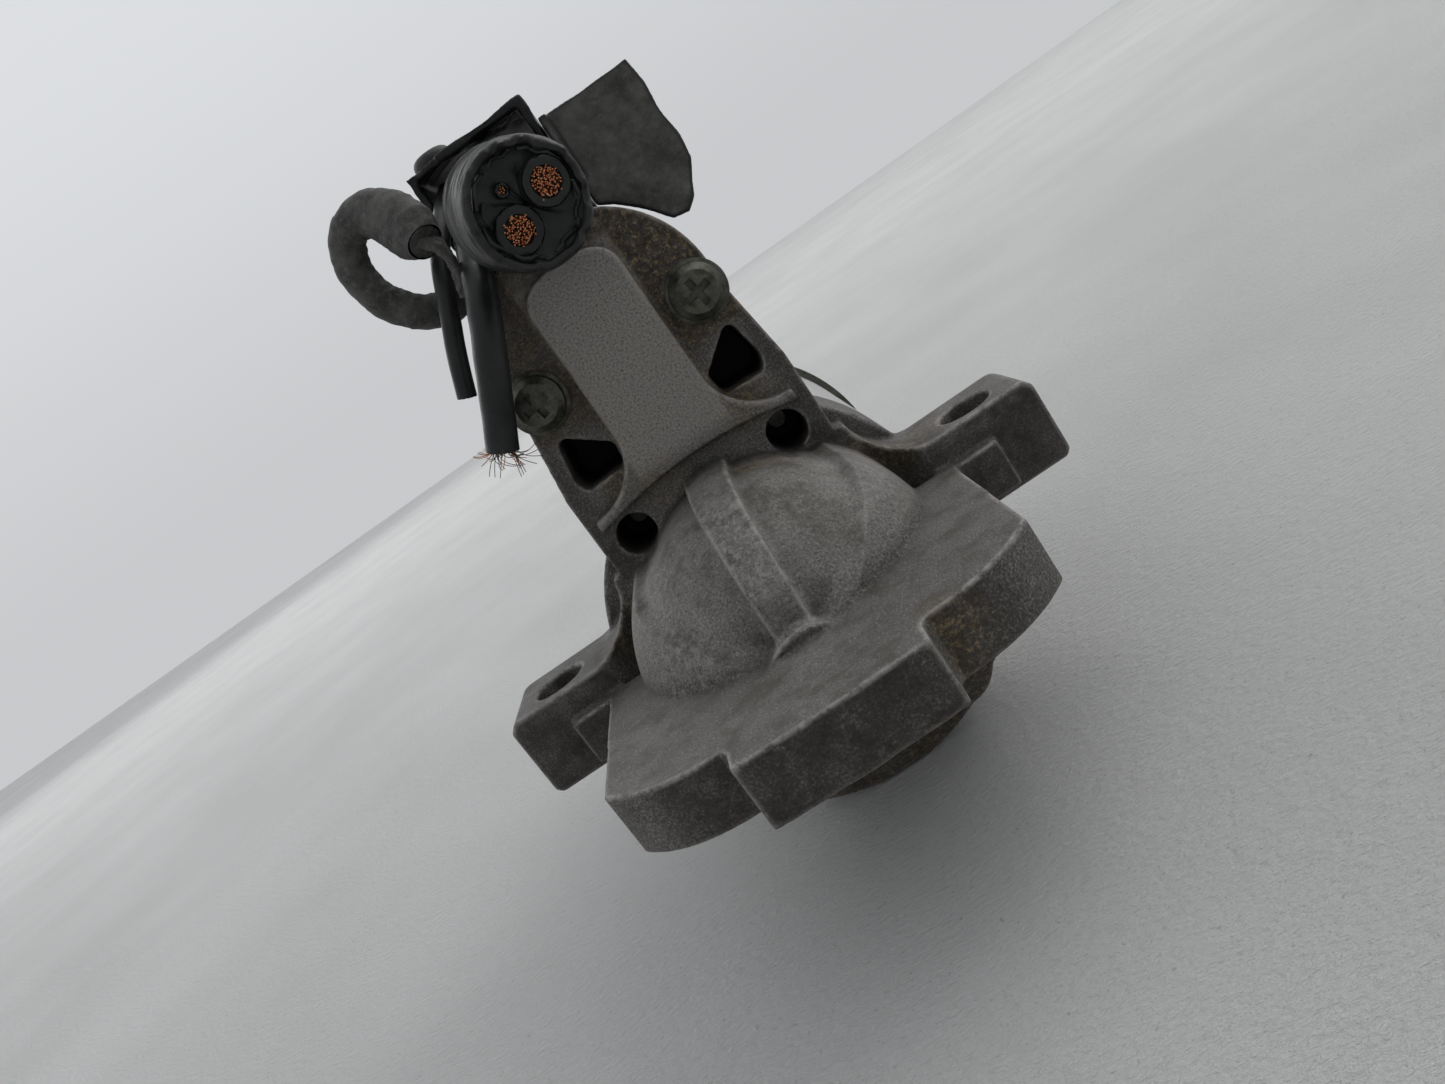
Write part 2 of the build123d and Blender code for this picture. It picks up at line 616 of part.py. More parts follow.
# --- solenoid ------------------------------------------------------------------------------------
with BuildPart() as solenoid_case:
    with BuildSketch(facing(CASE_BACK)):
        with Locations((0, SOLENOID_Z)):
            Circle(CASE_R)
    extrude(amount=CASE_BACK - CASE_FRONT)
    with BuildSketch(facing(CASE_BACK)):
        with Locations((0, SOLENOID_Z)):
            Circle(CASE_BORE)
    extrude(amount=CASE_BACK - 38, mode=Mode.SUBTRACT)
    with BuildSketch(facing(40)):
        with Locations((0, SOLENOID_Z)):
            Circle(13.2)
        with Locations((SCREW_X, SCREW_Z), (-SCREW_X, SCREW_Z)):
            Circle(3.0)
    extrude(amount=12, mode=Mode.SUBTRACT)
save(solenoid_case.part, "solenoid_case")
save(turned([(13.2, 38.4), (23.3, 38.4), (23.3, 39.6), (14.4, 39.6), (14.4, 69.8), (23.3, 69.8), (23.3, 71), (13.2, 71)],
            SOLENOID_PLANE, SOLENOID_AXIS), "coil_bobbin")
save(turned([(14.4, 39.6), (22.9, 39.6), (22.9, 69.8), (14.4, 69.8)], SOLENOID_PLANE, SOLENOID_AXIS), "solenoid_coil")
save(turned([(2.1, 62.4), (12.6, 62.4), (12.6, 71), (23.4, 71), (23.4, 76.9), (2.1, 76.9)],
            SOLENOID_PLANE, SOLENOID_AXIS), "solenoid_core")
with BuildPart() as plunger:
    with BuildSketch(facing(52)):
        with Locations((0, SOLENOID_Z)):
            Circle(PLUNGER_R)
            Circle(7.2, mode=Mode.SUBTRACT)
    extrude(amount=20)
    with BuildSketch(facing(32)):
        with Locations((0, SOLENOID_Z)):
            Circle(PLUNGER_R)
    extrude(amount=7)
    with BuildSketch(facing(25)):
        with Locations((0, 72)):
            Rectangle(12, 14)
    extrude(amount=20)
    with BuildSketch(facing(14.6)):
        with Locations((0, 69)):
            Rectangle(5.6, 14)
    extrude(amount=7.2, mode=Mode.SUBTRACT)
save(plunger.part, "plunger")
save(coil((0, 32.8, SOLENOID_Z), (0, 1, 0), 5.6, 1.3, 28.6, 8), "plunger_spring")
save(turned([(0, 62.6), (2.0, 62.6), (2.0, 82), (13, 82), (13, 84.4), (2.0, 84.4), (2.0, 87), (0, 87)],
            SOLENOID_PLANE, SOLENOID_AXIS), "moving_contact")
with BuildPart() as terminal_cap:
    with BuildSketch(facing(97)):
        with Locations((0, SOLENOID_Z)):
            Circle(24.4)
    extrude(amount=20)
    with BuildSketch(facing(92)):
        with Locations((0, SOLENOID_Z)):
            Circle(20.5)
    extrude(amount=15, mode=Mode.SUBTRACT)
    with BuildSketch(facing(97)):
        with Locations((0, STUD_TOP)):
            Circle(4)
        with Locations((0, STUD_LOW)):
            Circle(4)
        with Locations((-15, SOLENOID_Z)):
            Rectangle(6.4, 1.0)
    extrude(amount=5, mode=Mode.SUBTRACT)
save(terminal_cap.part, "terminal_cap")
with BuildPart() as battery_stud:
    with BuildSketch(facing(92)):
        with Locations((0, STUD_TOP)):
            Rectangle(12, 9)
    extrude(amount=5)
    with BuildSketch(facing(109)):
        with Locations((0, STUD_TOP)):
            Circle(4)
    extrude(amount=17)
save(battery_stud.part, "battery_stud")
with BuildPart() as motor_stud:
    with BuildSketch(facing(92)):
        with Locations((0, STUD_LOW)):
            Rectangle(12, 9)
    extrude(amount=5)
    with BuildSketch(facing(108)):
        with Locations((0, STUD_LOW)):
            Circle(4)
    extrude(amount=16)
save(motor_stud.part, "motor_stud")
with BuildPart() as stud_nuts:
    for z in (STUD_TOP, STUD_LOW):
        with BuildSketch(facing(106)):
            with Locations((0, z)):
                RegularPolygon(7.5, 6)
                Circle(4, mode=Mode.SUBTRACT)
        extrude(amount=6)
save(stud_nuts.part, "stud_nuts")
with BuildPart() as spade_terminal:
    with BuildSketch(facing(106)):
        with Locations((-15, SOLENOID_Z)):
            Rectangle(6.3, 0.8)
    extrude(amount=16)
save(spade_terminal.part, "spade_terminal")
with BuildPart() as motor_lead:
    with BuildSketch(facing(100)):
        with Locations((0, 49)):
            Rectangle(8, 26)
        with Locations((0, STUD_LOW)):
            Circle(7)
            Circle(4.05, mode=Mode.SUBTRACT)
    extrude(amount=2)
save(motor_lead.part, "motor_lead")
with BuildPart() as lead_grommet:
    with BuildSketch(Plane.XY.offset(39.8)):
        with Locations((0, 100)):
            Circle(5.95)
    extrude(amount=5)
    with BuildSketch(Plane.XY.offset(43.6)):
        with Locations((0, 100)):
            Circle(7.4)
    extrude(amount=2.2)
    with BuildSketch(Plane.XY.offset(39)):
        with Locations((0, 99)):
            Rectangle(8.1, 2.1)
    extrude(amount=10, mode=Mode.SUBTRACT)
save(lead_grommet.part, "lead_grommet")

# --- terminal cover, shield and cables -------------------------------------------------------------
X0, X1, Y0, Y1, Z0, Z1 = DUCT
with BuildPart() as terminal_cover:
    with BuildSketch(facing(Y1)):
        with Locations(((X0 + X1) / 2, (Z0 + Z1) / 2)):
            Rectangle(X1 - X0, Z1 - Z0)
            Rectangle(X1 - X0 - 2 * DUCT_WALL, Z1 - Z0 - 2 * DUCT_WALL, mode=Mode.SUBTRACT)
    extrude(amount=Y1 - Y0)
    with BuildSketch(Plane.XY.offset(75)):
        with Locations((-1, 104.8)):
            Rectangle(28, 14.4)
    extrude(amount=30)
    with BuildSketch(Plane.XY.offset(70)):
        with Locations((-1, 103.5)):
            Rectangle(24.6, 13.4)
    extrude(amount=45, mode=Mode.SUBTRACT)
    with BuildSketch(facing(70)):
        with Locations((0, 100)):
            Rectangle(24, 7)
        with Locations((0, SOLENOID_Z)):
            Circle(CASE_R + 0.1, mode=Mode.SUBTRACT)
    extrude(amount=24)
    with BuildSketch(facing(48)):
        with Locations((-20.5, 99.6)):
            Rectangle(10, 9)
    extrude(amount=12)
    # torn front edge
    with BuildSketch(Plane.XY.offset(110)):
        with BuildLine():
            Polyline((-20, 19), (-9, 19), (-11, 21), (-14, 20.6), (-17, 23), (-20, 22), close=True)
            Polyline((4, 19), (14, 19), (14, 26), (10, 24), (7.5, 27), (5.5, 22.5), close=True)
        make_face()
    extrude(amount=20, mode=Mode.SUBTRACT)
save(terminal_cover.part, "terminal_cover")
with BuildPart() as terminal_shield:
    with BuildSketch(facing(22.0)):
        with BuildLine():
            Polyline((13.4, 96.4), (13.4, 118.5), (36.8, 117.5), (37.6, 112), (37.2, 106), (37.8, 99), (37.2, 93), (33, 85.8),
                     (30.2, 83.6), (26.4, 84.4), (24.6, 86.6), (20.8, 91), (16.8, 94.6), close=True)
        make_face()
    extrude(amount=2)
    with BuildSketch(facing(30)):
        with Locations((14.4, 110.2)):
            Rectangle(2, 16.6)
    extrude(amount=12)
    with BuildSketch(facing(24)):
        with Locations((25.2, 117.2)):
            Rectangle(23.2, 1.6)
    extrude(amount=4)
save(terminal_shield.part, "terminal_shield")
with BuildPart() as cover_knob:
    with BuildSketch(Plane.XY.offset(125)):
        with Locations((-14.2, 52)):
            Circle(5.4)
    extrude(amount=7.5)
    fillet(cover_knob.edges().group_by(Axis.Z)[-1], 2.4)
save(cover_knob.part, "cover_knob")
with BuildPart() as cable_lugs:
    with BuildSketch(facing(100)):
        with Locations((5.8, 110.6), (-4.4, 110.6)):
            Circle(4.9)
        with Locations((0, STUD_TOP)):
            Circle(7)
        make_hull()
        with Locations((0, STUD_TOP)):
            Circle(4.05, mode=Mode.SUBTRACT)
    extrude(amount=2.6)
    with BuildSketch(facing(97.4)):
        with Locations((5.8, 110.6), (-4.4, 110.6)):
            Circle(4.9)
    extrude(amount=97.4 - 82)
save(cable_lugs.part, "cable_lugs")

LOOM_FRONT, LOOM_REAR = Vector(3.6, -26, 100), Vector(-1.8, -7.5, 104.2)
loom_plane = Plane(origin=LOOM_FRONT, z_dir=LOOM_REAR - LOOM_FRONT)
with BuildPart() as loom_sleeve:
    with BuildSketch(loom_plane):
        Circle(LOOM_R)
        Circle(LOOM_BORE, mode=Mode.SUBTRACT)
    extrude(amount=(LOOM_REAR - LOOM_FRONT).length)
save(loom_sleeve.part, "loom_sleeve")

save(cord(BATTERY_A, BATTERY_D), "battery_cable_a")
save(cord(BATTERY_B, BATTERY_D), "battery_cable_b")
save(cord(SIGNAL, SIGNAL_D), "signal_wire")
save(cord(CHARGE, CHARGE_D), "charge_cable")
save(cord(IGNITION, IGNITION_D), "ignition_wire")
save(cord(BRANCH, BRANCH_D), "branch_cable")
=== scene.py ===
"""Looks of the starter motor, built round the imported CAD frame. Metres, same frame as the CAD."""
import json
import math
import random

import bmesh
import bpy
import numpy as np
from mathutils import Matrix, Vector


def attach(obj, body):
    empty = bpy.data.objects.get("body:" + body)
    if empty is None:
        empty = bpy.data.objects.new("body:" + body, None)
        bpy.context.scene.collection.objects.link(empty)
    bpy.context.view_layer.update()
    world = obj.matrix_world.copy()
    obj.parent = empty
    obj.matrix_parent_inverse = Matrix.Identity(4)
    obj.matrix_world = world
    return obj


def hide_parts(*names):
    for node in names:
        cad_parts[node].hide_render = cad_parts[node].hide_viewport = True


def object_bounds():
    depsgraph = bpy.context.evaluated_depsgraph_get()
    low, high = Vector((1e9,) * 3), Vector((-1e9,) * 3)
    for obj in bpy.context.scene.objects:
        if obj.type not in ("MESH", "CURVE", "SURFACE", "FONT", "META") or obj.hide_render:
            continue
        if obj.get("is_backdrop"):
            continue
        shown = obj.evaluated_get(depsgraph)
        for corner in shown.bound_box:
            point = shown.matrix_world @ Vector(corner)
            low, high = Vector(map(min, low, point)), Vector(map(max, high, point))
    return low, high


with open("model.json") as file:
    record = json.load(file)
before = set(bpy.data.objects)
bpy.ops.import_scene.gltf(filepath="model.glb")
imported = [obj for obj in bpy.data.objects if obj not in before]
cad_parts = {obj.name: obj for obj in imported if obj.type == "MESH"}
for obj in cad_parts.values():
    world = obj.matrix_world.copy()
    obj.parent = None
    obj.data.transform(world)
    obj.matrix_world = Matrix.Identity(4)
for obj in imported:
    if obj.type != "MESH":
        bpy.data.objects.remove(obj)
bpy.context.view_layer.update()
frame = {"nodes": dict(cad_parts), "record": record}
NODES = frame["nodes"]
MM = 0.001


# --- camera: seen from the nose, a little above and to the right, and rolled ----------------------
def camera(yaw, pitch, roll, place, lens):
    y, p = math.radians(yaw), math.radians(pitch)
    ahead = Vector((-math.sin(y) * math.cos(p), math.cos(y) * math.cos(p), -math.sin(p)))
    right = Vector((math.cos(y), math.sin(y), 0))
    up = right.cross(ahead)
    c, s = math.cos(math.radians(roll)), math.sin(math.radians(roll))
    right, up = c * right - s * up, s * right + c * up
    data = bpy.data.cameras.new("camera")
    data.lens = lens
    data.sensor_width = 36
    obj = bpy.data.objects.new("camera", data)
    bpy.context.scene.collection.objects.link(obj)
    turn = Matrix((right, up, -ahead)).transposed().to_4x4()
    obj.matrix_world = Matrix.Translation(Vector(place) * MM) @ turn
    data.clip_start = 0.01
    bpy.context.scene.camera = obj


camera(yaw=5.0, pitch=13.3, roll=35.41, place=(15.03, -238.05, 76.42), lens=27.03)


# --- materials ------------------------------------------------------------------------------------
class Mat:
    """A node material with noise layers in object space."""

    def __init__(self, name, metallic=0.0, specular=0.5):
        self.m = bpy.data.materials.new(name)
        self.m.use_nodes = True
        self.t = self.m.node_tree
        self.shader = self.t.nodes["Principled BSDF"]
        self.shader.inputs["Metallic"].default_value = metallic
        self.shader.inputs["Specular IOR Level"].default_value = specular
        self.place = self.t.nodes.new("ShaderNodeTexCoord").outputs["Object"]
        self.colour = None
        self.heights = []

    def link(self, a, b):
        self.t.links.new(a, b)

    def stretched(self, scale):
        node = self.t.nodes.new("ShaderNodeMapping")
        node.inputs["Scale"].default_value = scale
        self.link(self.place, node.inputs["Vector"])
        return node.outputs["Vector"]

    def noise(self, size, detail=6, rough=0.6, stretch=None):
        """Noise with features of about this many millimetres."""
        node = self.t.nodes.new("ShaderNodeTexNoise")
        node.inputs["Detail"].default_value = detail
        node.inputs["Roughness"].default_value = rough
        node.inputs["Scale"].default_value = 1000 / size
        self.link(self.stretched(stretch) if stretch else self.place, node.inputs["Vector"])
        return node.outputs["Fac"]

    def mask(self, source, low, high):
        """0 at low and 1 at high, held beyond them; low may be the larger."""
        node = self.t.nodes.new("ShaderNodeMapRange")
        node.inputs["From Min"].default_value = low
        node.inputs["From Max"].default_value = high
        node.clamp = True
        self.link(source, node.inputs["Value"])
        return node.outputs["Result"]

    def math(self, op, a, b):
        node = self.t.nodes.new("ShaderNodeMath")
        node.operation = op
        node.use_clamp = True
        for k, value in enumerate((a, b)):
            if isinstance(value, (int, float)):
                node.inputs[k].default_value = value
            else:
                self.link(value, node.inputs[k])
        return node.outputs[0]

    def attribute(self, name):
        node = self.t.nodes.new("ShaderNodeAttribute")
        node.attribute_name = name
        return node.outputs["Fac"]

    def mix(self, factor, a, b):
        node = self.t.nodes.new("ShaderNodeMix")
        node.data_type = "RGBA"
        if isinstance(factor, (int, float)):
            node.inputs["Factor"].default_value = factor
        else:
            self.link(factor, node.inputs["Factor"])
        for key, value in (("A", a), ("B", b)):
            socket = [s for s in node.inputs if s.name == key and s.type == "RGBA"][0]
            if isinstance(value, tuple):
                socket.default_value = (*value, 1)
            else:
                self.link(value, socket)
        return [s for s in node.outputs if s.type == "RGBA"][0]

    def layer(self, factor, colour):
        """The colour so far, covered by another one."""
        self.colour = self.mix(factor, self.colour, colour)

    def where(self, name, mask, share):
        """A painted attribute broken up by a noise mask."""
        return self.math("MULTIPLY", self.math("MULTIPLY", self.attribute(name), mask), share)

    def rough(self, source, low, high):
        """Roughness from low to high with the source."""
        node = self.t.nodes.new("ShaderNodeMapRange")
        node.inputs["To Min"].default_value = low
        node.inputs["To Max"].default_value = high
        node.clamp = True
        self.link(source, node.inputs["Value"])
        self.link(node.outputs["Result"], self.shader.inputs["Roughness"])

    def bump(self, source, depth):
        """Relief of this many millimetres."""
        self.heights.append((source, depth))

    def done(self):
        self.link(self.colour, self.shader.inputs["Base Color"])
        last = None
        for source, depth in self.heights:
            node = self.t.nodes.new("ShaderNodeBump")
            node.inputs["Distance"].default_value = depth * MM
            node.inputs["Strength"].default_value = 1.0
            self.link(source, node.inputs["Height"])
            if last is not None:
                self.link(last, node.inputs["Normal"])
            last = node.outputs["Normal"]
        if last is not None:
            self.link(last, self.shader.inputs["Normal"])
        return self.m


def plain(name, dark, light, roughness, metallic, size, grain, relief, stretch=None, speck=None):
    """Two mottled tones, fine grain and relief, and optional specks."""
    m = Mat(name, metallic=metallic)
    tone = m.noise(size, 7, 0.65, stretch)
    m.colour = m.mix(m.mask(tone, 0.35, 0.68), dark, light)
    if speck:
        m.layer(m.math("MULTIPLY", m.mask(m.noise(size * 0.3, 3, 0.5), 0.60, 0.72), 0.7), speck)
    m.rough(tone, *roughness)
    m.bump(m.noise(grain, 4, 0.6, stretch), relief)
    m.bump(m.noise(size * 1.4, 3, 0.5), relief * 1.5)
    return m.done()


def casting():
    """Aged sand-textured aluminium: painted shade in hollows, in the openings, on faces toward the nose and
    underneath, worn edges that are also a painted highlight where they face up, a painted highlight on faces
    turned up, pale oxide, brown stains.
    """
    m = Mat("aged_casting", metallic=0.25)
    cloud = m.noise(16, 8, 0.62)
    grit = m.noise(0.5, 5, 0.72)
    fine = m.noise(1.7, 6, 0.7)
    m.colour = m.mix(m.mask(cloud, 0.34, 0.66), (0.076, 0.071, 0.064), (0.128, 0.122, 0.113))
    m.layer(m.math("MULTIPLY", m.attribute("sand"), 0.85), (0.27, 0.258, 0.238))
    m.layer(m.math("MULTIPLY", m.mask(grit, 0.52, 0.66), 0.62), (0.42, 0.405, 0.375))
    m.layer(m.math("MULTIPLY", m.mask(grit, 0.48, 0.34), 0.85), (0.022, 0.019, 0.016))
    # painted highlight: a lighter tone on faces turned up and to the key light; the next layer lays brown
    # dust on the same faces
    m.layer(m.where("up", m.mask(fine, 0.34, 0.66), 0.50), (0.138, 0.132, 0.128))
    m.layer(m.where("up", m.mask(m.noise(7, 8, 0.72), 0.46, 0.62), 0.70), (0.055, 0.046, 0.037))
    m.layer(m.where("pale", m.mask(m.noise(2.2, 9, 0.8), 0.47, 0.62), 0.62), (0.40, 0.385, 0.375))
    # painted shade: near-black on faces toward the nose, on the undersides and at the bottom
    m.layer(m.where("front_and_under_shade", m.mask(m.noise(6, 9, 0.75), 0.22, 0.62), 0.92), (0.021, 0.0165, 0.0120))
    # painted shade: near-black in large hollows
    m.layer(m.where("hollow", m.mask(m.noise(2.8, 8, 0.75), 0.24, 0.52), 0.88), (0.016, 0.0125, 0.010))
    m.layer(m.where("dirt", m.mask(m.noise(2.4, 9, 0.78), 0.26, 0.56), 0.94), (0.014, 0.0105, 0.0068))
    # worn edges, lighter, and strongest on edges facing up as a painted highlight
    m.layer(m.where("edge", m.mask(m.noise(3.0, 8, 0.78), 0.40, 0.56), 0.80), (0.34, 0.33, 0.315))
    m.layer(m.where("gold", m.mask(m.noise(1.3, 9, 0.88), 0.51, 0.60), 0.85), (0.36, 0.26, 0.135))
    m.layer(m.where("gold", m.mask(m.noise(6, 6, 0.7), 0.45, 0.65), 0.45), (0.085, 0.052, 0.022))
    # painted shade: near-black deep in the openings and the bore
    m.layer(m.attribute("deep"), (0.006, 0.0055, 0.005))
    m.rough(fine, 0.48, 0.80)
    m.bump(grit, 0.20)
    m.bump(fine, 0.14)
    m.bump(m.noise(6, 5, 0.6), 0.25)
    return m.done()


# Plain finishes by material slot: two mottled tones, grain and relief in millimetres.
FINISHES = {
    "bronze": dict(
        name="bronze", dark=(0.30, 0.17, 0.06), light=(0.44, 0.28, 0.11), roughness=(0.35, 0.55),
        metallic=0.9, size=1.2, grain=0.3, relief=0.02,
    ),
    "gear_steel": dict(
        name="oiled_steel", dark=(0.24, 0.235, 0.225), light=(0.40, 0.39, 0.38), roughness=(0.22, 0.42),
        metallic=1.0, size=4, grain=0.3, relief=0.01, speck=(0.09, 0.07, 0.05),
    ),
    "core_steel": dict(
        name="laminated_steel", dark=(0.10, 0.10, 0.105), light=(0.19, 0.185, 0.18),
        roughness=(0.35, 0.6), metallic=0.8, size=3, grain=0.4, relief=0.03, stretch=(1, 6, 1),
    ),
    "magnet": dict(
        name="ferrite", dark=(0.035, 0.035, 0.038), light=(0.065, 0.063, 0.062), roughness=(0.5, 0.7),
        metallic=0.0, size=2, grain=0.4, relief=0.03,
    ),
    "yoke_steel": dict(
        name="yoke_steel", dark=(0.34, 0.34, 0.33), light=(0.60, 0.59, 0.57), roughness=(0.22, 0.42),
        metallic=1.0, size=6, grain=0.5, relief=0.01, stretch=(1, 9, 1), speck=(0.16, 0.14, 0.11),
    ),
    "cover_zinc": dict(
        name="passivated_cover", dark=(0.080, 0.085, 0.068), light=(0.170, 0.172, 0.145),
        roughness=(0.34, 0.6), metallic=0.55, size=5, grain=0.5, relief=0.03, speck=(0.05, 0.042, 0.03),
    ),
    "screw_steel": dict(
        name="olive_screw", dark=(0.034, 0.036, 0.027), light=(0.115, 0.117, 0.096),
        roughness=(0.24, 0.46), metallic=0.75, size=1.8, grain=0.3, relief=0.03,
        speck=(0.13, 0.105, 0.06),
    ),
    "case_steel": dict(
        name="passivated_case", dark=(0.085, 0.088, 0.075), light=(0.165, 0.166, 0.15),
        roughness=(0.3, 0.55), metallic=0.6, size=6, grain=0.5, relief=0.02, speck=(0.05, 0.04, 0.03),
    ),
    "copper": dict(
        name="copper", dark=(0.46, 0.17, 0.075), light=(0.72, 0.32, 0.17), roughness=(0.28, 0.5),
        metallic=0.95, size=1.5, grain=0.3, relief=0.02, speck=(0.22, 0.08, 0.04),
    ),
    "enamelled": dict(
        name="enamelled_copper", dark=(0.22, 0.065, 0.025), light=(0.38, 0.13, 0.05),
        roughness=(0.2, 0.4), metallic=0.3, size=1.0, grain=0.9, relief=0.20, stretch=(1, 0.3, 1),
    ),
    "carbon": dict(
        name="copper_graphite", dark=(0.035, 0.032, 0.030), light=(0.080, 0.066, 0.055),
        roughness=(0.45, 0.65), metallic=0.2, size=1, grain=0.3, relief=0.03,
    ),
    "tinned": dict(
        name="tinned", dark=(0.26, 0.255, 0.24), light=(0.46, 0.45, 0.42), roughness=(0.26, 0.45),
        metallic=0.95, size=2.2, grain=0.4, relief=0.02, speck=(0.12, 0.10, 0.08),
    ),
    "spring_steel": dict(
        name="spring_steel", dark=(0.16, 0.155, 0.15), light=(0.28, 0.275, 0.27),
        roughness=(0.25, 0.45), metallic=1.0, size=2, grain=0.3, relief=0.01,
    ),
    "rubber_black": dict(
        name="rubber_black", dark=(0.008, 0.008, 0.008), light=(0.022, 0.021, 0.020),
        roughness=(0.45, 0.7), metallic=0.0, size=2.6, grain=0.5, relief=0.05,
        speck=(0.075, 0.072, 0.068),
    ),
}


def scuffed_plastic():
    m = Mat("scuffed_plastic", specular=0.30)
    cloud = m.noise(8, 8, 0.6)
    m.colour = m.mix(m.mask(cloud, 0.35, 0.7), (0.007, 0.007, 0.0075), (0.016, 0.016, 0.0165))
    scuff = m.noise(2.0, 8, 0.8, stretch=(1, 1, 3.2))
    m.layer(m.math("MULTIPLY", m.mask(scuff, 0.54, 0.72), 0.42), (0.075, 0.074, 0.070))
    m.layer(m.math("MULTIPLY", m.mask(m.noise(0.8, 5, 0.8), 0.61, 0.74), 0.30), (0.12, 0.112, 0.100))
    m.rough(cloud, 0.32, 0.58)
    m.bump(m.noise(0.5, 4, 0.6), 0.05)
    m.bump(scuff, 0.05)
    return m.done()


def dusty_plastic():
    m = Mat("dusty_plastic", specular=0.35)
    cloud = m.noise(7, 9, 0.68)
    m.colour = m.mix(m.mask(cloud, 0.36, 0.66), (0.032, 0.0310, 0.0285), (0.125, 0.121, 0.112))
    scuff = m.noise(2.4, 9, 0.8, stretch=(1, 1, 2.6))
    m.layer(m.math("MULTIPLY", m.mask(scuff, 0.52, 0.70), 0.5), (0.165, 0.160, 0.148))
    m.layer(m.math("MULTIPLY", m.attribute("edge"), 0.85), (0.010, 0.010, 0.010))
    m.rough(cloud, 0.34, 0.60)
    m.bump(m.noise(0.5, 4, 0.6), 0.06)
    m.bump(scuff, 0.06)
    return m.done()


def insulation():
    m = Mat("cable_insulation", specular=0.30)
    cloud = m.noise(6, 7, 0.6)
    m.colour = m.mix(m.mask(cloud, 0.35, 0.7), (0.010, 0.0110, 0.0110), (0.023, 0.0243, 0.0240))
    m.layer(m.math("MULTIPLY", m.mask(m.noise(1.3, 8, 0.8), 0.60, 0.76), 0.30), (0.055, 0.052, 0.047))
    m.rough(cloud, 0.30, 0.50)
    m.bump(m.noise(0.7, 4, 0.6), 0.05)
    m.bump(m.noise(4, 3, 0.5), 0.18)
    return m.done()


def cloth_tape():
    m = Mat("loom_tape", specular=0.30)
    cloud = m.noise(5, 8, 0.65)
    m.colour = m.mix(m.mask(cloud, 0.36, 0.66), (0.032, 0.0310, 0.0295), (0.100, 0.097, 0.092))
    m.layer(m.math("MULTIPLY", m.mask(m.noise(1.2, 8, 0.8), 0.50, 0.70), 0.55), (0.19, 0.182, 0.17))
    m.rough(cloud, 0.55, 0.82)
    m.bump(m.noise(0.35, 3, 0.6), 0.06)
    m.bump(m.noise(2.2, 5, 0.6), 0.25)
    return m.done()


def sleeve_material():
    m = Mat("ribbed_sleeve", specular=0.30)
    cloud = m.noise(7, 7, 0.6)
    m.colour = m.mix(m.mask(cloud, 0.35, 0.7), (0.011, 0.0112, 0.0108), (0.034, 0.0345, 0.0335))
    m.layer(m.math("MULTIPLY", m.mask(m.noise(1.0, 8, 0.8), 0.58, 0.76), 0.32), (0.055, 0.052, 0.048))
    m.rough(cloud, 0.34, 0.55)
    m.bump(m.noise(0.6, 4, 0.6), 0.07)
    m.bump(m.noise(2.4, 4, 0.6), 0.20)
    return m.done()


SPECIAL = {
    "black_plastic": scuffed_plastic,
    "dusty": dusty_plastic,
    "cable_black": insulation,
    "tape": cloth_tape,
    "sleeve": sleeve_material,
    "cast_housing": casting,
}
READY = {}


def material(slot):
    if slot not in READY:
        READY[slot] = SPECIAL[slot]() if slot in SPECIAL else plain(**FINISHES[slot])
    return READY[slot]


def dress(obj, mat):
    obj.data.materials.clear()
    obj.data.materials.append(mat)


def shade_round(obj):
    for face in obj.data.polygons:
        face.use_smooth = True


def smooth(obj, angle):
    """Round shading, with edges sharper than this many degrees kept."""
    shade_round(obj)
    obj.data.set_sharp_from_angle(angle=math.radians(angle))


def ring(k, count):
    """Quads between ring k of points and the next one, with this many points in each."""
    quads = []
    for j in range(count):
        a, b = k * count + j, k * count + (j + 1) % count
        quads.append((a, b, b + count, a + count))
    return quads


def mesh_object(name, verts, faces, mat, angle=40):
    data = bpy.data.meshes.new(name)
    data.from_pydata([tuple(v) for v in verts], [], faces)
    data.validate()
    obj = bpy.data.objects.new(name, data)
    bpy.context.scene.collection.objects.link(obj)
    dress(obj, mat)
    smooth(obj, angle)
    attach(obj, "frame")
    return obj


